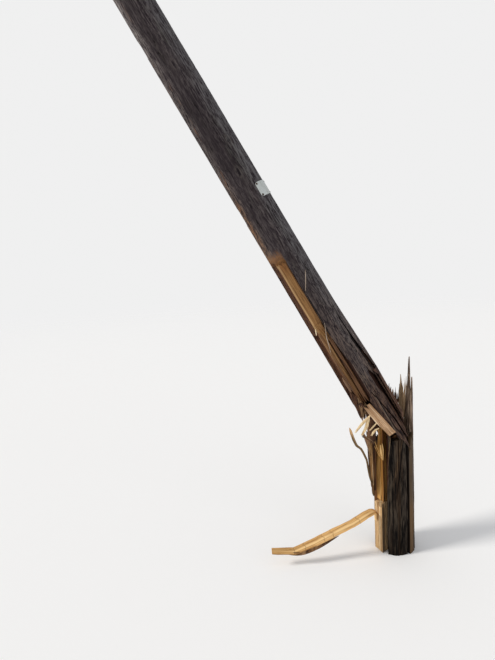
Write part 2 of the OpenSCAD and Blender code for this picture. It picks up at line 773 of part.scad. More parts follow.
leaning_shaft();
right_edge_sliver();
right_inner_strip();
front_skin_strip();
middle_skin_strip();
golden_layer();
golden_sliver();
brown_sliver();
left_hanging_splinters();
torn_slab();
slab_fibres();
skin_hairs();
stump_heart();
front_left_shard();
front_middle_shard();
front_right_shard();
right_outer_strip();
second_tall_splinter();
tall_splinter();
yellow_splinters();
ragged_back_shards();
back_shard();
back_left_shard();
left_shard();
flared_splinters();
orange_plank();
plank_sliver();
foot_shard();
ground_slat();
hooked_splinter();
number_plate();
plate_nails();
upper_hook_bolt();
upper_hook_washers();
upper_hook_nut();
lower_hook_bolt();
lower_hook_washers();
lower_hook_nut();
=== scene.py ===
import math
import random
import bpy
from mathutils import Matrix, Vector


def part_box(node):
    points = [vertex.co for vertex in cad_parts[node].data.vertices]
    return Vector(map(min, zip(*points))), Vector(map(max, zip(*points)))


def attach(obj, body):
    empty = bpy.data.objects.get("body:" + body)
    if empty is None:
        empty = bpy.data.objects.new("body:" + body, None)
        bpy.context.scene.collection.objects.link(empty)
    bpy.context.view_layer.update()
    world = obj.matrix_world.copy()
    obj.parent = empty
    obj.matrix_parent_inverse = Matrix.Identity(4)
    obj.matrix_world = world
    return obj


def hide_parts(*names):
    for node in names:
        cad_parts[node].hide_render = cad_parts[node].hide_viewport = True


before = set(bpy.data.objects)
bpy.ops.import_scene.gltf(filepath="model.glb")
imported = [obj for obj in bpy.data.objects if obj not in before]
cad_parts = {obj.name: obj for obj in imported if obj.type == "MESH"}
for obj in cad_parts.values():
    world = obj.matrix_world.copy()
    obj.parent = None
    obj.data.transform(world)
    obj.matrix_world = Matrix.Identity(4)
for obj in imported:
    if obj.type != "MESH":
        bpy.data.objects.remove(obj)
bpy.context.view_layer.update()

# Sizes of the pole, in metres, as in the CAD
BREAK_H = 0.646
LEAN = math.radians(28.5)
SHAFT_L = 5.854
GROUND_R = 0.102
TAPER = 0.027 / 6.5
PLATE_AT = 1.475
PLATE_H = 0.076
PLATE_TURN = math.radians(26.5)
PLATE_WRAP = math.radians(66)
PLATE_T = 0.0012
NAIL_TURN = math.radians(5)
NAIL_INSET = 0.008
HOOKS = {"upper": 5.604, "lower": 5.354}
THREAD_STEP = 0.0010

# Drying checks at the shaft's front: their angles, the stretch of the shaft where they are drawn
# together, how near and how far out the moved vertices lie, and how far they move to the middle
CHECK_ANGLES = (math.radians(4), math.radians(-32))
CHECK_FROM, CHECK_TO = 1.5, 3.95
CHECK_HALF = 0.0027
CHECK_FLOOR = 0.055
CHECK_PULL = 0.7

# The photograph's camera
CAMERA_AT = (-0.7577, -2.5946, 1.6)
CAMERA_TILT = math.radians(7.5)
CAMERA_ROLL = math.radians(3.0)
CAMERA_LENS = 27.04

# The lip of skin: where it starts along the shaft, and its length
LIP_FROM = 0.505
LIP_RUN = 0.205

# Degrees between the lengthwise cuts in the shaft's skin, and where the first cut lies
SKIN_STEP = 2.0
FIRST_CUT = 1.3

# Growth rings on the sawn head, as an angle in radians for each metre from its middle
RING_TURNS = 1900.0

# The pale floor: its radius, and the two distances between which it fades out
FLOOR_R = 60
FLOOR_FADE = (4.0, 20.0)

# The directions in which pieces are cut, each in the frame of the piece
ACROSS = (1, 0, 0)
THROUGH = (0, 1, 0)
ALONG = (0, 0, 1)

# Frames whose Z axis runs along the grain of each part; a bent piece keeps its grain in an attribute
SHAFT = Matrix.Translation((0, 0, BREAK_H)) @ Matrix.Rotation(-LEAN, 4, "Y")
STUMP = Matrix.Identity(4)
PLANK = Matrix.Rotation(math.radians(-69), 4, "Z")
SLAT = Matrix.Rotation(math.radians(72), 4, "Y")
SLAB = Matrix.Translation((-0.096, -0.103, 0.761)) @ Matrix.Rotation(math.radians(-39.6), 4, "Y")
BENT = None


def shaft_radius(s):
    return GROUND_R - TAPER * (BREAK_H + s)


def on_shaft(angle, radius, s):
    """A point by its angle from the front, its radius and its distance from the break."""
    a = math.radians(angle)
    return SHAFT @ Vector((radius * math.sin(a), -radius * math.cos(a), s))


# Camera at the photograph's place: tilted down a little and rolled a little
def place_camera():
    tilt, roll = CAMERA_TILT, CAMERA_ROLL
    ahead = Vector((0, math.cos(tilt), -math.sin(tilt)))
    level_up = Vector((0, math.sin(tilt), math.cos(tilt)))
    level_right = Vector((1, 0, 0))
    up = math.cos(roll) * level_up + math.sin(roll) * level_right
    right = math.cos(roll) * level_right - math.sin(roll) * level_up
    data = bpy.data.cameras.new("verge_camera")
    camera = bpy.data.objects.new("verge_camera", data)
    bpy.context.scene.collection.objects.link(camera)
    turn = Matrix((right, up, -ahead)).transposed().to_4x4()
    camera.matrix_world = Matrix.Translation(CAMERA_AT) @ turn
    data.sensor_fit = "AUTO"
    data.sensor_width = 36
    data.lens = CAMERA_LENS
    data.clip_end = 200
    bpy.context.scene.camera = camera


# Shader trees, written from short helpers
def put(tree, kind, settings=None, **values):
    """Adds a node; settings are its own properties, values its input sockets by name or as i0, i1."""
    made = tree.nodes.new(kind)
    for key, value in (settings or {}).items():
        setattr(made, key, value)
    for key, value in values.items():
        slot = made.inputs[{"i0": 0, "i1": 1}.get(key, key)]
        if isinstance(value, bpy.types.NodeSocket):
            tree.links.new(value, slot)
        else:
            slot.default_value = value
    return made


def tree_of(*values):
    """The shader tree that the first socket among the values belongs to."""
    return next(value.id_data for value in values if isinstance(value, bpy.types.NodeSocket))


def number(operation, a, b=0.0):
    return put(tree_of(a, b), "ShaderNodeMath", {"operation": operation}, i0=a, i1=b).outputs[0]


def plus(a, b):
    return number("ADD", a, b)


def minus(a, b):
    return number("SUBTRACT", a, b)


def over(a, b):
    return number("DIVIDE", a, b)


def times(value, *shares):
    for share in shares:
        value = number("MULTIPLY", value, share)
    return value


def distance(value, line):
    return number("ABSOLUTE", minus(value, line))


def length(a, b):
    return number("SQRT", plus(times(a, a), times(b, b)))


def shaken(value, noise, amount):
    """The value moved to and fro by a noise that runs from 0 to 1."""
    return plus(value, times(minus(noise, 0.5), amount))


def split(vector):
    return put(vector.id_data, "ShaderNodeSeparateXYZ", None, Vector=vector).outputs


def between(value, low, high, to_low, to_high):
    """Goes softly from one value to the other while the input goes from low to high."""
    made = put(value.id_data, "ShaderNodeMapRange", {"interpolation_type": "SMOOTHSTEP"}, Value=value)
    for name, v in (("From Min", low), ("From Max", high), ("To Min", to_low), ("To Max", to_high)):
        made.inputs[name].default_value = v
    return made.outputs[0]


def rise(value, low, high, top=1.0):
    return between(value, low, high, 0.0, top)


def fall(value, low, high, top=1.0):
    return between(value, low, high, top, 0.0)


def blend(share, a, b, mode="MIX"):
    tree = tree_of(share, a, b)
    made = tree.nodes.new("ShaderNodeMix")
    made.data_type = "RGBA"
    made.blend_type = mode
    for slot, value in ((made.inputs[0], share), (made.inputs[6], a), (made.inputs[7], b)):
        if isinstance(value, bpy.types.NodeSocket):
            tree.links.new(value, slot)
        elif isinstance(value, tuple):
            slot.default_value = (*value, 1.0)
        else:
            slot.default_value = value
    return made.outputs[2]


def vector_math(operation, a, b):
    return put(a.id_data, "ShaderNodeVectorMath", {"operation": operation}, i0=a, i1=b)


def stretched(vector, across, along):
    return vector_math("MULTIPLY", vector, (across, across, along)).outputs[0]


def cloud(vector, scale, detail=3.0, rough=0.55):
    made = put(vector.id_data, "ShaderNodeTexNoise", None, Vector=vector, Scale=scale, Detail=detail,
               Roughness=rough)
    return made.outputs[0]


def new_group(name, inputs, outputs):
    tree = bpy.data.node_groups.new(name, "ShaderNodeTree")
    for label, kind, value in inputs:
        made = tree.interface.new_socket(label, in_out="INPUT", socket_type=kind)
        if value is not None:
            made.default_value = value
    for label, kind in outputs:
        tree.interface.new_socket(label, in_out="OUTPUT", socket_type=kind)
    return tree, tree.nodes.new("NodeGroupInput").outputs, tree.nodes.new("NodeGroupOutput").inputs


# Wood grain: fibres, broad bands, thin drying cracks and blotches, along the local Z axis
def make_wood_grain():
    tree, given, out = new_group(
        "wood_grain",
        [("Vector", "NodeSocketVector", None), ("Size", "NodeSocketFloat", 1.0),
         ("Run", "NodeSocketFloat", 0.07)],
        [("Fibre", "NodeSocketFloat"), ("Band", "NodeSocketFloat"), ("Crack", "NodeSocketFloat"),
         ("Blotch", "NodeSocketFloat"), ("Height", "NodeSocketFloat")],
    )
    run = put(tree, "ShaderNodeCombineXYZ", None, X=1.0, Y=1.0, Z=given["Run"]).outputs[0]
    drift = cloud(stretched(given["Vector"], 1.0, 0.5), 7.0, 2.0)
    sway = put(tree, "ShaderNodeVectorMath", {"operation": "SCALE"}, i0=(1.0, 1.0, 0.0),
               Scale=times(drift, 0.02))
    vector = vector_math("ADD", given["Vector"], sway.outputs[0]).outputs[0]
    long = vector_math("MULTIPLY", vector, run).outputs[0]
    fine = cloud(long, times(given["Size"], 330.0), 3.0, 0.6)
    middle = cloud(long, times(given["Size"], 120.0), 3.0, 0.6)
    band = cloud(stretched(long, 1.0, 0.6), times(given["Size"], 38.0), 2.0, 0.5)
    fibre = plus(times(fine, 0.38), times(middle, 0.62))
    line = cloud(stretched(long, 1.0, 0.45), times(given["Size"], 62.0), 1.0, 0.4)
    near = distance(line, 0.5)
    place = rise(cloud(stretched(vector, 1.0, 0.25), 16.0, 1.0), 0.47, 0.6)
    crack = times(fall(near, 0.0, 0.016), place)
    blotch = cloud(stretched(vector, 1.0, 0.3), 26.0, 4.0, 0.65)
    height = minus(plus(fibre, times(band, 0.8)), times(crack, 0.9))
    for label, value in (("Fibre", fibre), ("Band", band), ("Crack", crack), ("Blotch", blotch),
                         ("Height", height)):
        tree.links.new(value, out[label])
    return tree


# Dirt that gathers low on the stump and in blotches
def make_ground_dirt():
    tree, given, out = new_group(
        "ground_dirt",
        [("Color", "NodeSocketColor", None), ("Reach", "NodeSocketFloat", 0.25),
         ("Amount", "NodeSocketFloat", 0.7)],
        [("Color", "NodeSocketColor")],
    )
    place = put(tree, "ShaderNodeTexCoord").outputs["Object"]
    z = split(place)[2]
    ragged = times(cloud(stretched(place, 1.0, 0.35), 30.0, 4.0), 0.22)
    level = over(plus(z, minus(ragged, 0.11)), given["Reach"])
    share = times(fall(level, 0.0, 1.0), given["Amount"])
    dirty = blend(1.0, given["Color"], (0.34, 0.30, 0.25), "MULTIPLY")
    tree.links.new(blend(share, given["Color"], dirty), out["Color"])
    return tree


wood_grain = make_wood_grain()
ground_dirt = make_ground_dirt()


materials = {}


def new_material(name, roughness, specular):
    """Makes a material, keeps it under its name, and gives back its tree and its shader."""
    material = bpy.data.materials.new(name)
    materials[name] = material
    material.use_nodes = True
    shader = material.node_tree.nodes["Principled BSDF"]
    shader.inputs["Roughness"].default_value = roughness
    shader.inputs["Specular IOR Level"].default_value = specular
    return material.node_tree, shader


def grain_place(tree, turn):
    """The vector that the grain reads: Object coordinates turned so that Z runs along the wood."""
    if turn is BENT:
        return put(tree, "ShaderNodeAttribute", {"attribute_name": "along_grain"}).outputs["Vector"]
    place = put(tree, "ShaderNodeTexCoord").outputs["Object"]
    where, rotation, _ = turn.decompose()
    mapping = put(tree, "ShaderNodeMapping", {"vector_type": "TEXTURE"}, Vector=place)
    mapping.inputs["Location"].default_value = where
    mapping.inputs["Rotation"].default_value = rotation.to_euler()
    return mapping.outputs[0]


def grained(tree, vector, size, run):
    made = put(tree, "ShaderNodeGroup")
    made.node_tree = wood_grain
    tree.links.new(vector, made.inputs["Vector"])
    made.inputs["Size"].default_value = size
    made.inputs["Run"].default_value = run
    return made.outputs


def dirtied(tree, color, reach, amount):
    made = put(tree, "ShaderNodeGroup")
    made.node_tree = ground_dirt
    tree.links.new(color, made.inputs["Color"])
    made.inputs["Reach"].default_value = reach
    made.inputs["Amount"].default_value = amount
    return made.outputs[0]


def finish_wood(tree, shader, color, height, rough_low, rough_high, bump, depth):
    tree.links.new(color, shader.inputs["Base Color"])
    tree.links.new(between(height, 0.4, 1.4, rough_high, rough_low), shader.inputs["Roughness"])
    relief = put(tree, "ShaderNodeBump", None, Strength=bump, Distance=depth, Height=height)
    tree.links.new(relief.outputs[0], shader.inputs["Normal"])


# Long marks in the skin near the break: open checks and raised pale edges beside them.
# Each has its two ends along the shaft, its place across at the lower end, its drift, its width,
# its tone and its strength
SKIN_LINES = [
    (0.00, 0.10, 0.0360, -0.18, 0.0045, (0.005, 0.004, 0.004), 0.95),
    (0.39, 0.63, 0.0835, -0.08, 0.0065, (0.004, 0.003, 0.003), 0.92),
    (0.06, 0.30, 0.0225, -0.01, 0.0040, (0.005, 0.004, 0.004), 0.90),
    (0.05, 0.32, 0.0150, 0.00, 0.0034, (0.280, 0.215, 0.165), 0.55),
    (0.10, 0.32, 0.0905, -0.03, 0.0045, (0.260, 0.160, 0.100), 0.60),
    (0.60, 0.82, 0.0680, 0.00, 0.0026, (0.006, 0.005, 0.005), 0.90),
    (0.78, 0.90, 0.0735, 0.01, 0.0034, (0.220, 0.190, 0.170), 0.60),
    (0.68, 0.92, -0.0200, 0.00, 0.0034, (0.006, 0.005, 0.005), 0.90),
]


# Small knots in the skin's front: the place across and the place along the shaft
KNOTS = [(-0.001, 2.183), (0.039, 1.753), (0.002, 1.597)]
KNOT_WIDE = 0.0065
KNOT_LONG = 0.0120


# The weathered skin of the shaft: brown-grey streaks, a left edge painted paler as a painted highlight of
# sun from the left, with rust in patches, painted blue-grey sky light on the right, painted shade down the
# middle, higher up and towards the break, grey-green growth in blotches, torn red-brown wood wherever the
# skin is gone, painted shade at the trough's right wall and on the left underside, and a sawn end with
# growth rings at the head
def make_weathered_shaft():
    tree, shader = new_material("weathered_shaft", 0.9, 0.12)
    vector = grain_place(tree, SHAFT)
    grain = grained(tree, vector, 1.5, 0.11)
    x, y, s = split(vector)
    facing = fall(y, -0.005, 0.005)
    streak = rise(grain["Fibre"], 0.41, 0.61)
    color = blend(streak, (0.021, 0.015, 0.019), (0.120, 0.100, 0.098))
    color = blend(rise(grain["Band"], 0.46, 0.62, 0.5), color, (0.036, 0.027, 0.027))
    color = blend(rise(grain["Blotch"], 0.56, 0.70, 0.4), color, (0.110, 0.090, 0.080))
    green = rise(cloud(stretched(vector, 1.0, 0.22), 19.0, 3.0), 0.56, 0.70, 0.45)
    green = times(green, rise(x, -0.055, -0.020))
    color = blend(times(green, streak), color, (0.115, 0.118, 0.095))
    # Painted light: the right side is painted paler and blue-grey, as sky light falling on it
    right = rise(x, 0.0, 0.075, 0.8)
    color = blend(times(right, streak), color, (0.170, 0.166, 0.172))
    # Painted shade: a darker band down the middle of the front, away from the lit left edge
    middle = fall(distance(x, -0.030), 0.012, 0.045, 0.45)
    color = blend(middle, color, (0.032, 0.025, 0.027))
    shaded = times(rise(s, 1.52, 1.66), fall(s, 1.95, 2.15))
    shaded = times(shaded, fall(x, 0.010, 0.050, 0.35))
    color = blend(shaded, color, (0.018, 0.013, 0.016))
    # Painted highlight: the left edge is painted paler, tan low down and grey higher up, as if lit by sun
    # from the left; the rust patches in it are the wood's own colour
    edge = shaken(x, grain["Blotch"], 0.045)
    left = fall(edge, -0.086, -0.053)
    left_highlight_and_rust = times(left, between(grain["Fibre"], 0.45, 0.58, 0.05, 1.0))
    tint = blend(rise(s, 1.30, 1.70), (0.230, 0.140, 0.085), (0.155, 0.130, 0.120))
    tint = blend(rise(s, 1.90, 2.60), tint, (0.320, 0.285, 0.270))
    rust = rise(cloud(stretched(vector, 1.0, 0.2), 42.0, 2.0), 0.58, 0.66, 0.75)
    tint = blend(rust, tint, (0.300, 0.140, 0.060))
    color = blend(left_highlight_and_rust, color, tint)
    for e, at in KNOTS:
        off_e = over(minus(x, e), KNOT_WIDE)
        off_s = over(minus(s, at), KNOT_LONG)
        away = length(off_e, off_s)
        away = shaken(away, grain["Fibre"], 6.0)
        halo = fall(distance(away, 2.0), 0.2, 0.8, 0.30)
        color = blend(times(halo, facing), color, (0.115, 0.096, 0.084))
        core = times(fall(away, 0.5, 1.5, 0.75), facing)
        color = blend(core, color, (0.012, 0.009, 0.011))
    low = times(fall(s, 0.05, 1.2, 0.95), between(grain["Band"], 0.45, 0.6, 1.0, 0.45))
    color = blend(times(low, streak), color, (0.205, 0.140, 0.100))
    red = times(fall(s, 0.15, 0.75), rise(x, 0.045, 0.065))
    color = blend(times(red, between(grain["Band"], 0.42, 0.58, 0.3, 0.95)), color,
                  blend(streak, (0.020, 0.009, 0.006), (0.150, 0.085, 0.052)))
    # Painted shade: the skin is darkened towards the break
    deeper = blend(1.0, color, (0.76, 0.64, 0.58), "MULTIPLY")
    color = blend(fall(s, 0.24, 0.44), color, deeper)
    color = blend(times(grain["Crack"], 0.9), color, (0.008, 0.006, 0.006))
    front = rise(y, -0.012, -0.020)
    for start, end, e, tilt, wide, tone, share in SKIN_LINES:
        course = plus(times(minus(s, start), tilt), e)
        course = shaken(course, grain["Blotch"], 0.006)
        line = fall(distance(x, course), wide * 0.4, wide, share)
        held = times(rise(s, start - 0.02, start + 0.02), fall(s, end - 0.04, end))
        line = times(line, held, front)
        color = blend(line, color, tone)
    radius = length(x, y)
    skin = minus(GROUND_R, times(plus(s, BREAK_H), TAPER))
    depth = minus(skin, radius)
    torn = times(rise(depth, 0.0055, 0.0085), fall(s, 1.25, 1.35))
    inner = blend(rise(grain["Fibre"], 0.42, 0.58), (0.040, 0.014, 0.009), (0.160, 0.066, 0.032))
    # Painted shade: the torn wood towards the trough's right wall, under the skin's edge, is painted near
    # black
    inner = blend(rise(x, -0.050, -0.028, 0.92), inner, (0.026, 0.011, 0.008))
    inner = blend(rise(s, 1.080, 1.100, 0.9), inner, (0.290, 0.140, 0.055))
    color = blend(torn, color, inner)
    ragged = plus(s, times(grain["Fibre"], 0.16))
    stain = times(fall(ragged, 1.215, 1.262, 0.9), fall(x, -0.036, -0.018))
    stain = times(stain, times(facing, rise(ragged, 1.16, 1.20)))
    stain = times(stain, minus(1.0, torn))
    color = blend(stain, color, (0.230, 0.112, 0.050))
    # Painted shade: the left underside below the trough's top is painted dark maroon torn wood, darkened as
    # the shaded underside of the leaning shaft
    under = times(fall(x, -0.082, -0.070, 0.9), fall(s, 1.10, 1.15))
    color = blend(under, color, blend(streak, (0.030, 0.013, 0.009), (0.120, 0.058, 0.032)))
    wobble = times(cloud(vector, 30.0, 2.0), 0.006)
    ring = number("SINE", times(plus(radius, wobble), RING_TURNS))
    rings = blend(rise(ring, -0.6, 0.9), (0.120, 0.095, 0.070), (0.240, 0.200, 0.150))
    inside = fall(radius, 0.0700, 0.0725)
    head = times(inside, rise(s, SHAFT_L - 0.05, SHAFT_L - 0.03))
    color = blend(head, color, rings)
    finish_wood(tree, shader, color, grain["Height"], 0.8, 0.98, 0.9, 0.005)


# Weathered shards of the stump: dark grey-brown outside, redder where the wood tore
def make_weathered_stump(name, dark, light, warm, warm_share, reach=0.30, front=False):
    tree, shader = new_material(name, 0.9, 0.10)
    vector = grain_place(tree, STUMP)
    grain = grained(tree, vector, 1.1, 0.05)
    streak = rise(grain["Fibre"], 0.45, 0.60)
    color = blend(streak, dark, light)
    color = blend(rise(grain["Band"], 0.50, 0.66, warm_share), color, warm)
    color = blend(rise(grain["Blotch"], 0.58, 0.74, 0.25), color, (0.075, 0.068, 0.058))
    color = blend(times(grain["Crack"], 0.9), color, (0.005, 0.004, 0.004))
    if front:
        x, y, z = split(vector)
        seen = fall(y, -0.070, -0.060)
        slant = minus(x, times(z, 0.200))
        brown = fall(distance(slant, -0.1057), 0.003, 0.008, 0.6)
        brown = times(brown, seen, rise(z, 0.34, 0.46))
        color = blend(times(brown, streak), color, (0.150, 0.088, 0.045))
        right = times(rise(x, 0.018, 0.026), fall(x, 0.052, 0.058))
        right = times(right, streak, 0.3)
        color = blend(right, color, (0.115, 0.092, 0.074))
        # Painted shade: a near-black line where two front shards part, as the shade in the gap between them
        slant = minus(x, times(z, 0.125))
        gap_shade = fall(distance(slant, -0.0507), 0.0018, 0.0050, 0.95)
        gap_shade = times(gap_shade, seen, rise(z, 0.32, 0.42))
        color = blend(gap_shade, color, (0.002, 0.001, 0.001))
        torn_edge = times(fall(x, -0.053, -0.049, 0.95), rise(z, 0.36, 0.44))
        color = blend(times(torn_edge, seen), color, (0.042, 0.012, 0.006))
    color = dirtied(tree, color, reach, 0.75)
    finish_wood(tree, shader, color, grain["Height"], 0.75, 0.95, 0.9, 0.005)


# Fresh torn wood: long bright fibres over a deeper ground, with dark splits and, where asked, dirt, another
# tone past a place along the run, tones at its sides and dark kinks across it;
# some of the tones along the run and at the sides are painted highlight and painted shade
def make_torn_wood(name, turn, deep, mid, bright, size, run, cracked, dirt=0.0, change=None, sides=(),
        kinks=()):
    tree, shader = new_material(name, 0.7, 0.22)
    vector = grain_place(tree, turn)
    grain = grained(tree, vector, size, run)
    color = blend(rise(grain["Fibre"], 0.40, 0.58), deep, mid)
    color = blend(rise(grain["Band"], 0.48, 0.63, 0.85), color, bright)
    color = blend(rise(grain["Blotch"], 0.54, 0.72, 0.55), color, deep)
    color = blend(times(grain["Crack"], cracked), color, tuple(v * 0.25 for v in deep))
    if change:
        start, end, tone = change
        along = split(vector)[2]
        along = shaken(along, grain["Fibre"], 0.1)
        toned = blend(1.0, color, tone, "MULTIPLY")
        color = blend(rise(along, start, end), color, toned)
    for start, end, share, tone in sides:
        across = split(vector)[0]
        across = shaken(across, grain["Band"], 0.02)
        color = blend(rise(across, start, end, share), color, blend(grain["Fibre"], (0, 0, 0), tone))
    for place in kinks:
        along = split(vector)[2]
        along = shaken(along, grain["Band"], 0.03)
        near = distance(along, place)
        color = blend(fall(near, 0.0006, 0.0024, 0.6), color, tuple(v * 0.4 for v in deep))
    if dirt:
        color = dirtied(tree, color, 0.22, dirt)
    finish_wood(tree, shader, color, grain["Height"], 0.5, 0.75, 0.8, 0.003)


make_weathered_shaft()

# The stump's weathered woods: tones of the dark streaks, the light streaks and the warm bands,
# the strength of these bands, and how high the dirt reaches
make_weathered_stump("stump_skin", (0.003, 0.002, 0.002), (0.070, 0.053, 0.038), (0.050, 0.027, 0.014),
                     0.5, front=True)
make_weathered_stump("tall_wood", (0.090, 0.058, 0.038), (0.360, 0.260, 0.190), (0.230, 0.135, 0.080),
                     0.5, 0.2)

# Torn woods: how the grain runs, the deep, middle and bright tones, then the grain's size, its run
# and the strength of its cracks, and what only this wood has
TORN_WOODS = [
    ("inner_red_wood", STUMP, (0.045, 0.015, 0.008), (0.150, 0.060, 0.026), (0.300, 0.155, 0.070),
     (0.9, 0.04, 0.8), {"sides": ((-0.084, -0.097, 0.6, (0.440, 0.210, 0.070)),)}),
    # trough_gold: a painted highlight on the ridge at the left side, and a painted shadow band at the
    # right, under the skin's edge
    ("trough_gold", SHAFT, (0.150, 0.068, 0.020), (0.290, 0.150, 0.052), (0.410, 0.245, 0.098),
     (1.0, 0.02, 0.8), {"change": (1.00, 1.09, (0.85, 0.72, 0.62)),
                        "sides": ((-0.062, -0.067, 0.6, (0.86, 0.56, 0.27)),
                                  (-0.040, -0.026, 0.7, (0.24, 0.115, 0.048)))}),
    # sliver_gold: its lower end is toned browner and darker, painted shade
    ("sliver_gold", SHAFT, (0.110, 0.046, 0.015), (0.260, 0.136, 0.050), (0.430, 0.265, 0.120),
     (0.8, 0.02, 0.9), {"change": (0.56, 0.40, (0.50, 0.42, 0.34))}),
    ("sliver_brown", SHAFT, (0.050, 0.021, 0.010), (0.135, 0.064, 0.028), (0.220, 0.120, 0.056),
     (0.8, 0.02, 0.9), {}),
    ("strip_maroon", SHAFT, (0.045, 0.017, 0.010), (0.160, 0.080, 0.048), (0.300, 0.170, 0.108),
     (0.8, 0.03, 0.9), {"change": (0.325, 0.345, (0.36, 0.30, 0.30))}),
    # plank_orange: darker at the top and dark maroon down the right side, both painted shade
    ("plank_orange", PLANK, (0.190, 0.075, 0.014), (0.430, 0.205, 0.048), (0.660, 0.370, 0.115),
     (1.2, 0.03, 0.9), {"dirt": 0.15, "change": (0.50, 0.58, (0.55, 0.48, 0.34)),
                        "sides": ((0.022, 0.030, 0.95, (0.090, 0.030, 0.016)),)}),
    # foot_pale: the right side is painted dark brown, painted shade
    ("foot_pale", PLANK, (0.380, 0.210, 0.090), (0.760, 0.510, 0.250), (0.980, 0.780, 0.480),
     (1.4, 0.03, 1.0), {"dirt": 0.15, "sides": ((-0.010, -0.028, 0.20, (0.600, 0.400, 0.180)),
                                                (0.024, 0.032, 0.9, (0.100, 0.058, 0.030)))}),
    # strip_brown: its left edge is painted near black, painted shade in the gap beside the front shard
    ("strip_brown", STUMP, (0.012, 0.007, 0.004), (0.046, 0.028, 0.014), (0.100, 0.060, 0.028),
     (0.8, 0.03, 0.9), {"dirt": 0.2, "change": (0.34, 0.24, (1.5, 1.3, 0.9)),
                        "sides": ((0.0680, 0.0615, 0.95, (0.012, 0.006, 0.004)),)}),
    # slat_underside_shade: the darker brown of the strip under the slat, painted shade
    ("slat_underside_shade", STUMP, (0.080, 0.035, 0.014), (0.170, 0.085, 0.035), (0.300, 0.170, 0.075),
     (0.8, 0.03, 0.9), {}),
    # slab_pale: its upper left end is toned darker, painted shade
    ("slab_pale", SLAB, (0.300, 0.150, 0.070), (0.680, 0.440, 0.255), (0.930, 0.700, 0.460),
     (1.9, 0.02, 1.0), {"change": (0.0, 0.12, (0.62, 0.56, 0.50))}),
    ("yellow_wood", STUMP, (0.300, 0.190, 0.105), (0.600, 0.430, 0.260), (0.800, 0.630, 0.420),
     (0.8, 0.03, 0.9), {}),
    ("ribbon_red", BENT, (0.040, 0.015, 0.008), (0.130, 0.056, 0.026), (0.300, 0.165, 0.090),
     (1.0, 0.04, 0.8), {}),
    ("ribbon_brown", BENT, (0.060, 0.034, 0.012), (0.170, 0.100, 0.040), (0.340, 0.210, 0.100),
     (1.0, 0.04, 0.8), {"change": (0.38, 0.44, (3.2, 3.2, 3.4))}),
    ("ribbon_tan", BENT, (0.050, 0.020, 0.011), (0.130, 0.062, 0.032), (0.220, 0.130, 0.075),
     (1.0, 0.04, 0.8), {"change": (0.10, 0.16, (3.0, 3.3, 3.6))}),
    ("ribbon_gold", BENT, (0.380, 0.180, 0.045), (0.640, 0.380, 0.130), (0.860, 0.600, 0.270),
     (1.0, 0.03, 0.5), {}),
    ("slat_gold", BENT, (0.420, 0.215, 0.070), (0.720, 0.430, 0.165), (0.880, 0.610, 0.290),
     (1.3, 0.03, 1.0), {"kinks": (0.184, 0.342, 0.395, 0.504, 0.566)}),
    ("strand_dark", STUMP, (0.022, 0.009, 0.006), (0.085, 0.036, 0.018), (0.200, 0.100, 0.050),
     (0.9, 0.05, 0.7), {}),
    ("strand_warm", STUMP, (0.030, 0.012, 0.006), (0.155, 0.068, 0.024), (0.340, 0.185, 0.065),
     (0.9, 0.05, 0.7), {"change": (0.44, 0.36, (0.50, 0.44, 0.38))}),
    ("strand_tan", STUMP, (0.110, 0.060, 0.028), (0.280, 0.170, 0.088), (0.480, 0.330, 0.190),
     (0.9, 0.05, 0.6), {}),
    ("strand_pale", STUMP, (0.600, 0.410, 0.215), (0.920, 0.740, 0.460), (1.000, 0.880, 0.620),
     (0.9, 0.05, 0.4), {}),
    ("strand_gold", STUMP, (0.340, 0.160, 0.040), (0.620, 0.360, 0.120), (0.850, 0.580, 0.260),
     (0.9, 0.05, 0.5), {}),
    ("strand_straw", STUMP, (0.200, 0.150, 0.115), (0.340, 0.265, 0.205), (0.480, 0.390, 0.310),
     (0.9, 0.05, 0.4), {}),
]
for name, turn, deep, mid, bright, weave, extra in TORN_WOODS:
    make_torn_wood(name, turn, deep, mid, bright, *weave, **extra)


# The number plate's cream enamel, chipped and stained in blotches, with a dark ring round each nail: a rust
# stain with painted shade of the nail hole
def make_plate_enamel():
    tree, shader = new_material("plate_enamel", 0.42, 0.5)
    place = grain_place(tree, SHAFT)
    stain = cloud(stretched(place, 1.0, 0.35), 60.0, 4.0, 0.65)
    specks = rise(cloud(place, 420.0, 2.0), 0.66, 0.74)
    color = blend(rise(stain, 0.42, 0.75, 0.7), (0.590, 0.625, 0.610), (0.420, 0.420, 0.380))
    color = blend(times(specks, 0.5), color, (0.190, 0.130, 0.080))
    for angle in (PLATE_TURN + NAIL_TURN, PLATE_TURN + PLATE_WRAP - NAIL_TURN):
        for side in (-1, 1):
            r = shaft_radius(PLATE_AT) + PLATE_T
            nail = (r * math.sin(angle), -r * math.cos(angle), PLATE_AT + side * (PLATE_H / 2 - NAIL_INSET))
            away = vector_math("DISTANCE", place, nail).outputs[1]
            away = shaken(away, stain, 0.006)
            # Each nail's dark ring: a rust stain, with painted shade of the hole
            color = blend(fall(away, 0.0048, 0.0075, 0.9), color, (0.045, 0.028, 0.020))
    tree.links.new(color, shader.inputs["Base Color"])
    tree.links.new(between(stain, 0.3, 0.8, 0.35, 0.65), shader.inputs["Roughness"])
    bump = put(tree, "ShaderNodeBump", None, Strength=0.25, Distance=0.001, Height=stain)
    tree.links.new(bump.outputs[0], shader.inputs["Normal"])


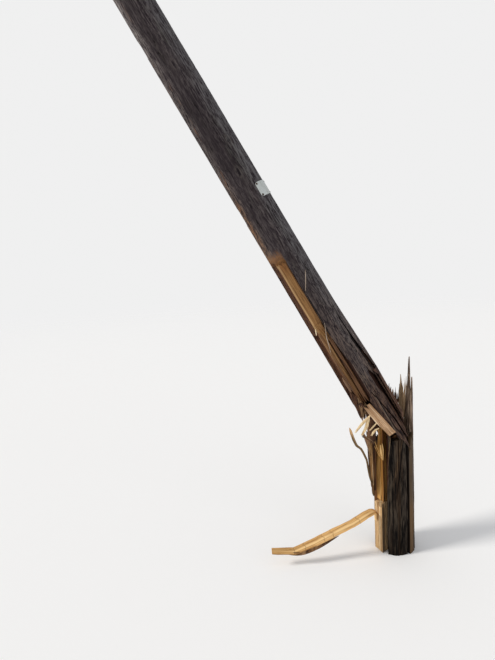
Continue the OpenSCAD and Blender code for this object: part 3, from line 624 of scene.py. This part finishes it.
def make_old_metal(name, base, rust, metallic, low, high, scale):
    tree, shader = new_material(name, 0.5, 0.5)
    shader.inputs["Metallic"].default_value = metallic
    place = put(tree, "ShaderNodeTexCoord").outputs["Object"]
    patch = cloud(place, scale, 5.0, 0.65)
    spangle = put(tree, "ShaderNodeTexVoronoi", None, Vector=place, Scale=scale * 3).outputs[1]
    grey = put(tree, "ShaderNodeRGBToBW", None, Color=spangle).outputs[0]
    color = blend(rise(grey, 0.0, 1.0, 0.35), base, tuple(min(1.0, v * 1.5) for v in base))
    color = blend(rise(patch, low, high), color, rust)
    tree.links.new(color, shader.inputs["Base Color"])
    tree.links.new(between(patch, 0.3, 0.7, 0.4, 0.8), shader.inputs["Roughness"])
    bump = put(tree, "ShaderNodeBump", None, Strength=0.4, Distance=0.001, Height=patch)
    tree.links.new(bump.outputs[0], shader.inputs["Normal"])


make_plate_enamel()
make_old_metal("rusty_nail", (0.050, 0.040, 0.036), (0.110, 0.045, 0.020), 0.4, 0.4, 0.6, 300.0)
make_old_metal("galvanised_steel", (0.300, 0.310, 0.320), (0.160, 0.090, 0.050), 0.6, 0.58, 0.75, 60.0)


# Tools of the bench: every piece starts as a merged copy of its CAD node or as a primitive
def only(piece):
    if bpy.context.object and bpy.context.object.mode != "OBJECT":
        bpy.ops.object.mode_set(mode="OBJECT")
    bpy.ops.object.select_all(action="DESELECT")
    piece.select_set(True)
    bpy.context.view_layer.objects.active = piece


def to_mode(mode):
    bpy.ops.object.mode_set(mode=mode)


def edit_all(piece):
    only(piece)
    to_mode("EDIT")
    bpy.ops.mesh.select_all(action="SELECT")


def copy_of(node, name):
    piece = bpy.data.objects.new(name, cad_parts[node].data.copy())
    bpy.context.scene.collection.objects.link(piece)
    edit_all(piece)
    bpy.ops.mesh.remove_doubles(threshold=0.00002)
    bpy.ops.mesh.customdata_custom_splitnormals_clear()
    bpy.ops.mesh.dissolve_limited(angle_limit=math.radians(0.5))
    to_mode("OBJECT")
    return piece


def cut_across(piece, turn, places, normal=ALONG):
    """Cuts edges into the piece's faces by planes across one direction of its frame."""
    edit_all(piece)
    facing = turn.to_3x3() @ Vector(normal)
    for d in places:
        bpy.ops.mesh.select_all(action="SELECT")
        bpy.ops.mesh.bisect(plane_co=turn @ (Vector(normal) * d), plane_no=facing)
    to_mode("OBJECT")


def cut_round(piece, turn, step):
    """Cuts lengthwise edges by planes through the axis of its frame."""
    for k in range(int(180 / step)):
        a = math.radians(k * step + FIRST_CUT)
        cut_across(piece, turn, [0.0], (math.cos(a), math.sin(a), 0))


def steps(low, high, step):
    return [low + step * k for k in range(int((high - low) / step) + 1)]


def relief(piece, turn, across, along, height):
    """Raises and sinks the surface by a cloud stretched along the grain."""
    texture = bpy.data.textures.new("grain_relief", "CLOUDS")
    texture.noise_scale = 1.0
    texture.noise_depth = 2
    ruler = bpy.data.objects.new("grain_ruler", None)
    bpy.context.scene.collection.objects.link(ruler)
    ruler.matrix_world = turn @ Matrix.Diagonal((across, across, along, 1))
    bpy.context.view_layer.update()
    only(piece)
    push = piece.modifiers.new("relief", "DISPLACE")
    push.texture = texture
    push.texture_coords = "OBJECT"
    push.texture_coords_object = ruler
    push.mid_level = 0.5
    push.strength = height
    bpy.ops.object.modifier_apply(modifier=push.name)
    bpy.data.objects.remove(ruler)
    bpy.data.textures.remove(texture)


def round_edges(piece, width):
    only(piece)
    bevel = piece.modifiers.new("round_edges", "BEVEL")
    bevel.width = width
    bevel.segments = 2
    bevel.limit_method = "ANGLE"
    bpy.ops.object.modifier_apply(modifier=bevel.name)


def finish_piece(piece, material, nodes, smooth):
    only(piece)
    bpy.ops.object.shade_smooth_by_angle(angle=math.radians(smooth))
    piece.data.materials.clear()
    piece.data.materials.append(materials[material])
    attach(piece, "root")
    if nodes:
        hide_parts(*nodes)


def grain_along(piece, path, side):
    """Writes, for each vertex, where it lies across and along a bent ribbon, in metres."""
    points = [Vector(p) for p in path]
    lengths = [0.0]
    for a, b in zip(points, points[1:]):
        lengths.append(lengths[-1] + (b - a).length)
    store = piece.data.attributes.new("along_grain", "FLOAT_VECTOR", "POINT")
    for i, vertex in enumerate(piece.data.vertices):
        best = None
        for k in range(len(points) - 1):
            a, b = points[k], points[k + 1]
            t = max(0.0, min(1.0, (vertex.co - a).dot(b - a) / (b - a).length_squared))
            off = vertex.co - a.lerp(b, t)
            if best is None or off.length < best[0]:
                best = (off.length, off, lengths[k] + t * (b - a).length, (b - a).normalized())
        _, off, run, ahead = best
        flat = ahead.cross(Vector(side)).normalized()
        wide = flat.cross(ahead)
        store.data[i].vector = (off.dot(wide) + 0.31 * len(path), off.dot(flat), run)


def torn_strands(name, runs, material, nodes=()):
    """Sweeps a small round profile along bent paths, each point with its own radius, into one mesh."""
    bpy.ops.object.select_all(action="DESELECT")
    line = bpy.data.curves.new(name, "CURVE")
    line.dimensions = "3D"
    line.resolution_u = 4
    line.bevel_depth = 1.0
    line.bevel_resolution = 1
    line.use_fill_caps = True
    for path, radii in runs:
        spline = line.splines.new("NURBS")
        spline.points.add(len(path) - 1)
        for point, place, radius in zip(spline.points, path, radii):
            point.co = (*place, 1.0)
            point.radius = radius
        spline.order_u = 3
        spline.use_endpoint_u = True
    piece = bpy.data.objects.new(name, line)
    bpy.context.scene.collection.objects.link(piece)
    only(piece)
    bpy.ops.object.convert(target="MESH")
    edit_all(piece)
    bpy.ops.mesh.remove_doubles(threshold=0.00005)
    bpy.ops.mesh.normals_make_consistent(inside=False)
    to_mode("OBJECT")
    relief(piece, STUMP, 0.006, 0.03, 0.0012)
    finish_piece(piece, material, nodes, 50)


def bundle(draw, count, roots, tips, thick, bow, turn=STUMP, least=0.55):
    """Strands whose roots and tips are spread along two short lines, each with its own bend and length."""
    runs = []
    for k in range(count):
        share = (k + draw.uniform(-0.4, 0.4)) / (count - 1)
        root = Vector(roots[0]).lerp(Vector(roots[1]), max(0.0, min(1.0, share)))
        tip = Vector(tips[0]).lerp(Vector(tips[1]), max(0.0, min(1.0, share + draw.uniform(-0.1, 0.1))))
        tip = root.lerp(tip, draw.uniform(least, 1.0))
        path, radii = [], []
        size = thick * draw.uniform(0.55, 1.15)
        for t, fat in ((0.0, 1.0), (0.3, 1.1), (0.6, 0.85), (0.85, 0.5), (1.0, 0.12)):
            sway = Vector([draw.uniform(-1, 1) * bow * min(1.0, 2 * t) for _ in range(3)])
            path.append(turn @ (root.lerp(tip, t) + sway))
            radii.append(size * fat)
        runs.append((path, radii))
    return runs


def along_path(draw, count, path, spread, thick):
    """Strands that follow one bent path side by side and come together at its ends."""
    runs = []
    for _ in range(count):
        off = Vector([draw.uniform(-1, 1) for _ in range(3)]) * spread
        fats = [draw.uniform(0.8, 1.2) * thick for _ in path]
        fats[0] *= 0.5
        fats[-1] *= 0.25
        places = [Vector(p) + off * (0.5 if k == 0 else 1.0) for k, p in enumerate(path)]
        runs.append((places, fats))
    return runs


def open_checks(shaft):
    """Sinks single columns of vertices, which opens thin checks along the grain."""
    draw = random.Random(11)
    back = SHAFT.inverted()
    places = [back @ v.co for v in shaft.data.vertices]
    turns = [math.degrees(math.atan2(p.x, -p.y)) % 360 for p in places]
    for _ in range(30):
        turn = 2 * draw.randrange(180) + FIRST_CUT
        low = draw.uniform(1.2, 5.0)
        high = low + draw.uniform(0.2, 0.8)
        for share, depth in ((0.0, 0.0022), (0.15, 0.0025)):
            trim = share * (high - low)
            only(shaft)
            to_mode("EDIT")
            bpy.ops.mesh.select_all(action="DESELECT")
            to_mode("OBJECT")
            for vertex, place, angle in zip(shaft.data.vertices, places, turns):
                if abs((angle - turn + 180) % 360 - 180) < 0.3 and low + trim < place.z < high - trim:
                    vertex.select = place.xy.length > 0.06
            to_mode("EDIT")
            bpy.ops.transform.shrink_fatten(value=-depth * (0.3 if turn < 80 or turn > 280 else 1.0))
            to_mode("OBJECT")


def press_under_plate(shaft):
    """Presses the skin down to the round where the number plate lies on it."""
    back = SHAFT.inverted()
    for vertex in shaft.data.vertices:
        place = back @ vertex.co
        turn = math.atan2(place.x, -place.y)
        near = abs(place.z - PLATE_AT) < PLATE_H / 2 + 0.05
        if near and PLATE_TURN - 0.12 < turn < PLATE_TURN + PLATE_WRAP + 0.12:
            share = min(1.0, (shaft_radius(place.z) - 0.0004) / place.xy.length)
            vertex.co = SHAFT @ Vector((place.x * share, place.y * share, place.z))


def draw_checks_together(shaft):
    """Narrows the drying checks at the front to the fine dark lines that they are in the photograph."""
    back = SHAFT.inverted()
    for vertex in shaft.data.vertices:
        place = back @ vertex.co
        for angle in CHECK_ANGLES:
            ahead = Vector((math.cos(angle), math.sin(angle), 0))
            out = place.x * math.sin(angle) - place.y * math.cos(angle)
            across = place.dot(ahead)
            if out > CHECK_FLOOR and abs(across) < CHECK_HALF and CHECK_FROM < place.z < CHECK_TO:
                place -= ahead * across * CHECK_PULL
        vertex.co = SHAFT @ place


# The leaning shaft with its skin, its torn trough and the fine steps round the break
def make_shaft():
    shaft = copy_of("leaning_shaft", "weathered_shaft")
    cut_across(shaft, SHAFT, steps(0.0, 1.35, 0.016) + steps(1.395, 5.80, 0.045))
    cut_round(shaft, SHAFT, SKIN_STEP)
    relief(shaft, SHAFT, 0.045, 0.9, 0.0028)
    relief(shaft, SHAFT, 0.0070, 0.13, 0.0022)
    draw_checks_together(shaft)
    open_checks(shaft)
    press_under_plate(shaft)
    finish_piece(shaft, "weathered_shaft", ["leaning_shaft"], 40)


# The skin strips and the edge sliver, weathered, and the torn inner strip
def make_strips():
    for node, name in (("front_skin_strip", "front_skin"), ("middle_skin_strip", "middle_skin"),
            ("right_edge_sliver", "edge_sliver")):
        strip = copy_of(node, name)
        cut_across(strip, SHAFT, steps(-0.1, 0.84, 0.014))
        cut_round(strip, SHAFT, SKIN_STEP)
        relief(strip, SHAFT, 0.008, 0.20, 0.0024)
        finish_piece(strip, "weathered_shaft", [node], 35)
    inner = copy_of("right_inner_strip", "inner_strip")
    cut_across(inner, SHAFT, steps(0.03, 0.39, 0.012))
    cut_across(inner, SHAFT, steps(0.060, 0.120, 0.004), ACROSS)
    cut_across(inner, SHAFT, steps(-0.090, 0.0, 0.006), THROUGH)
    relief(inner, SHAFT, 0.008, 0.16, 0.004)
    finish_piece(inner, "strip_maroon", ["right_inner_strip"], 25)


# A torn lip of skin that runs out along the right edge of the trough, below its step
def make_skin_lip():
    bpy.ops.object.select_all(action="DESELECT")
    bpy.ops.mesh.primitive_grid_add(x_subdivisions=10, y_subdivisions=24, size=1)
    lip = bpy.context.object
    lip.name = "skin_lip"
    draw = random.Random(5)
    for vertex in lip.data.vertices:
        across, along = vertex.co.x + 0.5, vertex.co.y + 0.5
        place_s = LIP_FROM + LIP_RUN * along
        right = -0.001
        left = right - 0.006 - 0.021 * along ** 0.8 + draw.uniform(-0.0012, 0.0012)
        e = right + (left - right) * across
        radius = shaft_radius(place_s) + 0.0010 - 0.0045 * across ** 3
        turn = math.asin(e / shaft_radius(place_s))
        vertex.co = SHAFT @ Vector((radius * math.sin(turn), -radius * math.cos(turn), place_s))
    thicken = lip.modifiers.new("thicken", "SOLIDIFY")
    thicken.thickness = 0.006
    thicken.offset = 1.0 if lip.data.polygons[0].normal.y > 0 else -1.0
    only(lip)
    bpy.ops.object.modifier_apply(modifier=thicken.name)
    edit_all(lip)
    bpy.ops.mesh.normals_make_consistent(inside=False)
    to_mode("OBJECT")
    relief(lip, SHAFT, 0.012, 0.22, 0.0020)
    finish_piece(lip, "weathered_shaft", (), 35)


def run_out(layer, low, high):
    """Lifts the layer's upper end towards the skin, as a tear that runs out to the surface."""
    back = SHAFT.inverted()
    for vertex in layer.data.vertices:
        place = back @ vertex.co
        share = max(0.0, min(1.0, (place.z - low) / (high - low)))
        reach = shaft_radius(place.z) - 0.0025
        grow = 1.0 + share * share * max(0.0, min(1.0, reach / place.xy.length - 1.0))
        vertex.co = SHAFT @ Vector((place.x * grow, place.y * grow, place.z))


# The layer and the two slats in the torn trough
def make_trough():
    for node, name, material, ends in (("golden_layer", "trough_face", "trough_gold", (0.68, 1.13)),
            ("golden_sliver", "gold_sliver", "sliver_gold", (0.22, 0.70)),
            ("brown_sliver", "brown_slat", "sliver_brown", (0.24, 0.70))):
        layer = copy_of(node, name)
        cut_across(layer, SHAFT, steps(*ends, 0.012))
        cut_across(layer, SHAFT, steps(-0.092, -0.026, 0.0035), ACROSS)
        cut_across(layer, SHAFT, steps(-0.096, -0.020, 0.0045), THROUGH)
        relief(layer, SHAFT, 0.007, 0.25, 0.0035)
        relief(layer, SHAFT, 0.03, 0.5, 0.004)
        if node == "golden_layer":
            run_out(layer, 1.035, 1.11)
        finish_piece(layer, material, [node], 25)


# The shards of the stump, and the two boards at its front left
def make_stump():
    shards = (("front_left_shard", "stump_skin", "weathered_wood"),
              ("front_middle_shard", "stump_skin", "weathered_wood"),
              ("front_right_shard", "stump_skin", "weathered_wood"),
              ("right_outer_strip", "strip_brown", "fresh_wood"),
              ("second_tall_splinter", "tall_wood", "weathered_wood"),
              ("tall_splinter", "tall_wood", "weathered_wood"),
              ("yellow_splinters", "yellow_wood", "pale_wood"),
              ("ragged_back_shards", "inner_red_wood", "inner_red_wood"),
              ("back_shard", "stump_skin", "weathered_wood"),
              ("back_left_shard", "stump_skin", "weathered_wood"),
              ("left_shard", "inner_red_wood", "inner_red_wood"))
    for node, material, slot in shards:
        shard = copy_of(node, node.replace("_shard", "_wood"))
        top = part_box(node)[1].z
        cut_across(shard, STUMP, steps(0.012, top, 0.014))
        cut_round(shard, STUMP, 2.5)
        relief(shard, STUMP, 0.03, 0.5, 0.006)
        relief(shard, STUMP, 0.009, 0.16, 0.0045)
        finish_piece(shard, material, [node], 30)
    for node, name, material, low, high in (
            ("orange_plank", "plank_face", "plank_orange", 0.29, 0.72),
            ("foot_shard", "foot_face", "foot_pale", 0.01, 0.29)):
        board = copy_of(node, name)
        cut_across(board, PLANK, steps(low, high, 0.012))
        cut_across(board, PLANK, steps(-0.05, 0.05, 0.004), ACROSS)
        relief(board, PLANK, 0.005, 0.2, 0.0030)
        relief(board, PLANK, 0.016, 0.3, 0.0040)
        finish_piece(board, material, [node], 25)


# The pale board that lies across the break
def make_slab():
    slab = copy_of("torn_slab", "pale_slab")
    cut_across(slab, SLAB, steps(-0.11, 0.11, 0.010))
    cut_across(slab, SLAB, steps(-0.022, 0.022, 0.002), ACROSS)
    relief(slab, SLAB, 0.0035, 0.3, 0.0022)
    relief(slab, SLAB, 0.014, 0.06, 0.0030)
    finish_piece(slab, "slab_pale", ["torn_slab"], 25)


# Bent ribbons of torn wood, smoothed and ridged along their own run
RIBBONS = {
    "ground_slat": (
        "bent_slat", "slat_gold", "fresh_wood", (0.3, -0.95, 0),
        [(-0.105, -0.019, 0.166), (-0.105, -0.019, 0.196), (-0.110, -0.022, 0.218), (-0.128, -0.044, 0.230),
         (-0.17, -0.066, 0.224), (-0.25, -0.092, 0.192), (-0.35, -0.104, 0.154), (-0.45, -0.116, 0.114),
         (-0.57, -0.128, 0.074), (-0.69, -0.138, 0.086)], 0.0012, 0.08),
    "hooked_splinter": (
        "hooked_wood", "ribbon_brown", "fresh_wood", (1, 0, 0),
        [(-0.106, 0.005, 0.296), (-0.122, -0.03, 0.38), (-0.143, -0.06, 0.44), (-0.158, -0.062, 0.534),
         (-0.186, -0.06, 0.595), (-0.209, -0.06, 0.615), (-0.224, -0.06, 0.648), (-0.245, -0.06, 0.715)],
        0.0014, 0.4),
    "flared_splinters": (
        "flared_wood", "ribbon_red", "inner_red_wood", (0.7, -0.7, 0),
        [(-0.105, 0.01, 0.345), (-0.11, 0.005, 0.5), (-0.125, -0.005, 0.58), (-0.15, -0.015, 0.67)],
        0.0020, 0.4),
    "left_hanging_splinters": (
        "hanging_wood", "ribbon_tan", "inner_red_wood", (0.5, 0.8, 0.2),
        [(-0.268, -0.02, 0.98), (-0.22, -0.03, 0.88), (-0.19, -0.03, 0.82), (-0.165, -0.03, 0.74)],
        0.0015, 0.4),
    "plank_sliver": (
        "plank_flake", "ribbon_gold", "fresh_wood", (1, 0, 0),
        [(-0.075, -0.05, 0.61), (-0.07, -0.06, 0.53)], 0.0008, 0.3),
}


def make_ribbons():
    for node, (name, material, slot, side, path, height, smooth) in RIBBONS.items():
        ribbon = copy_of(node, name)
        edit_all(ribbon)
        bpy.ops.mesh.tris_convert_to_quads()
        bpy.ops.mesh.subdivide(number_cuts=3, smoothness=smooth)
        to_mode("OBJECT")
        if node == "ground_slat":
            relief(ribbon, SLAT, 0.007, 0.22, 0.0040)
        relief(ribbon, STUMP, 0.012, 0.02, height)
        if node == "flared_splinters":
            for vertex in ribbon.data.vertices:
                vertex.co.x = min(vertex.co.x, -0.119 + 0.2 * (vertex.co.x + 0.119))
        grain_along(ribbon, path, side)
        finish_piece(ribbon, material, [node], 35)


# Fine strands that the CAD leaves out: torn fibres in the break, on the shards' ends and along their edges
def off_skin(angle, lift, s):
    return on_shaft(angle, shaft_radius(s) + lift, s)


def make_strands():
    draw = random.Random(28)
    warm = bundle(draw, 18, [(-0.122, -0.010, 0.36), (-0.118, -0.040, 0.34)],
                  [(-0.149, -0.026, 0.70), (-0.124, -0.052, 0.70)], 0.0030, 0.005)
    dark = bundle(draw, 12, [(-0.140, -0.050, 0.630), (-0.108, -0.055, 0.640)],
                  [(-0.152, -0.048, 0.790), (-0.108, -0.052, 0.765)], 0.0052, 0.003, STUMP, 0.95)
    dark += bundle(draw, 12, [(-0.090, -0.034, 0.262), (-0.060, -0.055, 0.262)],
                   [(-0.098, -0.030, 0.165), (-0.055, -0.060, 0.190)], 0.0034, 0.003, SHAFT)
    dark += bundle(draw, 22, [(0.076, -0.040, 0.500), (0.094, -0.004, 0.500)],
                   [(0.086, -0.036, 0.320), (0.106, 0.012, 0.320)], 0.0066, 0.001, SHAFT, 0.95)
    warm += bundle(draw, 14, [(-0.119, -0.018, 0.34), (-0.103, -0.020, 0.34)],
                   [(-0.126, -0.020, 0.80), (-0.094, -0.022, 0.80)], 0.0054, 0.0015, STUMP, 0.95)
    dark += along_path(draw, 6, [(-0.104, -0.050, 0.606), (-0.140, -0.050, 0.642), (-0.160, -0.050, 0.655),
            (-0.178, -0.048, 0.662)], 0.0050, 0.0036)
    dark += bundle(draw, 9, [(0.058, 0.066, 0.80), (0.012, 0.084, 0.80)],
                   [(0.060, 0.070, 0.90), (0.012, 0.088, 0.89)], 0.0036, 0.002, STUMP, 0.6)
    dark += bundle(draw, 8, [(-0.172, -0.040, 0.845), (-0.145, -0.045, 0.820)],
                   [(-0.160, -0.044, 0.750), (-0.138, -0.048, 0.750)], 0.0042, 0.002, STUMP, 0.85)
    dark += bundle(draw, 9, [(-0.230, -0.030, 0.900), (-0.198, -0.034, 0.880)],
                   [(-0.173, -0.030, 0.738), (-0.166, -0.032, 0.750)], 0.0048, 0.001, STUMP, 0.9)
    torn_strands("dark_strands", dark, "strand_dark")
    torn_strands("warm_strands", warm, "strand_warm")
    tan = bundle(draw, 7, [(-0.124, -0.020, 0.40), (-0.119, -0.044, 0.38)],
                 [(-0.145, -0.030, 0.69), (-0.125, -0.054, 0.68)], 0.0013, 0.006)
    tan += bundle(draw, 7, [(-0.194, -0.046, 0.880), (-0.178, -0.050, 0.862)],
                  [(-0.170, -0.044, 0.745), (-0.161, -0.047, 0.752)], 0.0034, 0.001, STUMP, 0.88)
    tan += bundle(draw, 3, [(-0.160, -0.050, 0.850), (-0.154, -0.052, 0.845)],
                  [(-0.158, -0.050, 0.765), (-0.154, -0.052, 0.765)], 0.0030, 0.001, STUMP, 0.9)
    tan += along_path(draw, 3, [(-0.110, -0.056, 0.622), (-0.140, -0.055, 0.652), (-0.174, -0.052, 0.670)],
            0.0050, 0.0016)
    tan += bundle(draw, 6, [(-0.110, -0.045, 0.262), (-0.066, -0.078, 0.262)],
                  [(-0.119, -0.048, 0.308), (-0.072, -0.082, 0.303)], 0.0014, 0.001)
    tan += along_path(draw, 1, [(-0.039, -0.094, 0.6625), (-0.045, -0.094, 0.605), (-0.051, -0.093, 0.548),
            (-0.0545, -0.090, 0.4516)], 0.0004, 0.0015)
    torn_strands("tan_strands", tan, "strand_tan")
    gold = bundle(draw, 16, [(-0.033, -0.083, 0.745), (-0.070, -0.056, 0.745)],
                  [(-0.026, -0.080, 0.640), (-0.062, -0.052, 0.640)], 0.0034, 0.001, SHAFT, 0.45)
    torn_strands("trough_strands", gold, "trough_gold")
    # The strip under the slat, coloured darker brown as painted shade
    under = []
    for off, fat in ((0.0, 0.0085), (0.009, 0.0060)):
        under.append(([(-0.600, -0.136, 0.062 + off), (-0.545, -0.141, 0.056 + off),
                       (-0.443, -0.134, 0.090 + off), (-0.372, -0.121, 0.121 + off),
                       (-0.325, -0.110, 0.138 + off)], [0.002, fat, fat, 0.7 * fat, 0.0008]))
    torn_strands("slat_underside", under, "slat_underside_shade")
    fibres = along_path(draw, 7, [(-0.143, -0.100, 0.790), (-0.163, -0.101, 0.771), (-0.198, -0.104, 0.739),
            (-0.226, -0.106, 0.703)], 0.0040, 0.0034)
    fibres += along_path(draw, 8, [(-0.149, -0.098, 0.782), (-0.156, -0.099, 0.757),
            (-0.166, -0.101, 0.718), (-0.188, -0.103, 0.687)], 0.0050, 0.0038)
    fibres += along_path(draw, 5, [(-0.110, -0.098, 0.746), (-0.130, -0.099, 0.727),
            (-0.149, -0.100, 0.709)], 0.0030, 0.0030)
    fibres += along_path(draw, 6, [(-0.098, -0.098, 0.719), (-0.119, -0.099, 0.710),
            (-0.129, -0.100, 0.698), (-0.139, -0.101, 0.682)], 0.0034, 0.0032)
    torn_strands("pale_fibres", fibres, "strand_pale", ["slab_fibres"])
    hairs = along_path(draw, 2, [off_skin(23, 0.0016, 1.018), off_skin(9, 0.005, 0.976),
            off_skin(-9, 0.004, 0.928)], 0.0005, 0.0022)
    hairs += along_path(draw, 3, [off_skin(-9, 0.0015, 0.738), off_skin(-16, 0.003, 0.706),
            off_skin(-26, 0.004, 0.668), off_skin(-33, 0.002, 0.620), off_skin(-47, -0.004, 0.567)], 0.0006,
            0.0017)
    torn_strands("skin_hair", hairs, "strand_straw", ["skin_hairs"])
    pale = bundle(draw, 18, [(0.066, 0.064, 0.72), (0.096, 0.048, 0.72)],
                  [(0.066, 0.062, 0.93), (0.099, 0.054, 0.975)], 0.0046, 0.003)
    torn_strands("yellow_strands", pale, "yellow_wood")
    bits = along_path(draw, 3, [(-0.117, -0.078, 0.640), (-0.108, -0.084, 0.608), (-0.094, -0.088, 0.576),
            (-0.080, -0.088, 0.546)], 0.0018, 0.0015)
    bits += along_path(draw, 2, [(-0.082, -0.088, 0.630), (-0.077, -0.089, 0.610), (-0.076, -0.089, 0.570),
            (-0.079, -0.088, 0.546)], 0.0010, 0.0014)
    for tip in ((-0.1186, 0.616), (-0.1120, 0.602), (-0.1001, 0.618), (-0.0790, 0.622), (-0.0730, 0.600)):
        bits += along_path(draw, 1, [(-0.0776, -0.088, 0.539), (0.5 * tip[0] - 0.042, -0.089, 0.568),
                (tip[0], -0.083, tip[1])], 0.0012, 0.0022)
    torn_strands("plank_strands", bits, "strand_gold")
    chip = along_path(draw, 3, [(-0.4075, -0.058, 1.252), (-0.4060, -0.062, 1.238),
            (-0.4035, -0.060, 1.220)], 0.0016, 0.0026)
    torn_strands("pale_chips", chip, "strand_pale")


# The bare number plate
def make_plate():
    plate = copy_of("number_plate", "plain_plate")
    round_edges(plate, 0.0004)
    finish_piece(plate, "plate_enamel", ["number_plate"], 40)


# Hooks: threads turned into the bolts' front ends, chamfered nuts and rounded washers
def make_hooks():
    for which, at in HOOKS.items():
        turn = SHAFT @ Matrix.Translation((0, 0, at)) @ Matrix.Rotation(math.radians(90), 4, "X")
        bolt = copy_of(which + "_hook_bolt", which + "_eye_bolt")
        places = steps(shaft_radius(at) + 0.016, shaft_radius(at) + 0.038, THREAD_STEP)
        cut_across(bolt, turn, places)
        back = turn.inverted()
        for vertex in bolt.data.vertices:
            place = back @ vertex.co
            ring = (place.z - places[0]) / THREAD_STEP
            if -0.2 < ring < len(places) - 0.8 and round(ring) % 2 and place.xy.length < 0.012:
                place.x *= 0.88
                place.y *= 0.88
                vertex.co = turn @ place
        finish_piece(bolt, "galvanised_steel", [which + "_hook_bolt"], 40)
        for part, name, width in (("_hook_nut", "_nut", 0.0012), ("_hook_washers", "_washers", 0.0010)):
            piece = copy_of(which + part, which + name)
            round_edges(piece, width)
            finish_piece(piece, "galvanised_steel", [which + part], 35)


def finish_kept_nodes():
    """The heart and the nails stay as the CAD gives them, and only get their materials."""
    for node, material in (("stump_heart", "inner_red_wood"), ("plate_nails", "rusty_nail")):
        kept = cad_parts[node]
        kept.data.materials.clear()
        kept.data.materials.append(materials[material])


# A pale floor that fades into the pale surroundings, and soft light from the front left
def make_floor():
    bpy.ops.object.select_all(action="DESELECT")
    bpy.ops.mesh.primitive_circle_add(vertices=128, radius=FLOOR_R, fill_type="NGON",
            location=(0, 0, -0.001))
    floor = bpy.context.object
    floor.name = "studio_floor"
    tree, shader = new_material("studio_floor", 0.95, 0.0)
    shader.inputs["Base Color"].default_value = (0.97, 0.97, 0.97, 1)
    place = put(tree, "ShaderNodeTexCoord").outputs["Object"]
    far = put(tree, "ShaderNodeVectorMath", {"operation": "LENGTH"}, i0=place).outputs[1]
    alpha = fall(far, *FLOOR_FADE)
    tree.links.new(alpha, shader.inputs["Alpha"])
    floor.data.materials.append(materials["studio_floor"])


def make_light():
    world = bpy.data.worlds.new("pale_room")
    bpy.context.scene.world = world
    world.use_nodes = True
    tree = world.node_tree
    tree.nodes.clear()
    out = tree.nodes.new("ShaderNodeOutputWorld")
    rays = tree.nodes.new("ShaderNodeLightPath").outputs
    seen = number("MAXIMUM", rays["Is Camera Ray"], rays["Is Transmission Ray"])
    lit = put(tree, "ShaderNodeBackground", None, Color=(0.97, 0.98, 1.0, 1), Strength=0.56)
    shown = put(tree, "ShaderNodeBackground", None, Color=(0.87, 0.87, 0.87, 1), Strength=1.0)
    mix = tree.nodes.new("ShaderNodeMixShader")
    tree.links.new(seen, mix.inputs[0])
    tree.links.new(lit.outputs[0], mix.inputs[1])
    tree.links.new(shown.outputs[0], mix.inputs[2])
    tree.links.new(mix.outputs[0], out.inputs[0])
    for name, toward, wide, power in (("key_light", (-0.78, -0.16, 0.60), 14, 1.85),
            ("fill_light", (0.55, -0.75, 0.35), 40, 0.22)):
        data = bpy.data.lights.new(name, "SUN")
        data.angle = math.radians(wide)
        data.energy = power
        data.color = (1.0, 0.965, 0.91) if name == "key_light" else (0.93, 0.96, 1.0)
        light = bpy.data.objects.new(name, data)
        bpy.context.scene.collection.objects.link(light)
        light.rotation_euler = (-Vector(toward)).to_track_quat("-Z", "Y").to_euler()


place_camera()
make_shaft()
make_strips()
make_trough()
make_skin_lip()
make_stump()
make_slab()
make_ribbons()
make_strands()
make_plate()
make_hooks()
finish_kept_nodes()
make_floor()
make_light()
bpy.context.scene.view_settings.view_transform = "Standard"
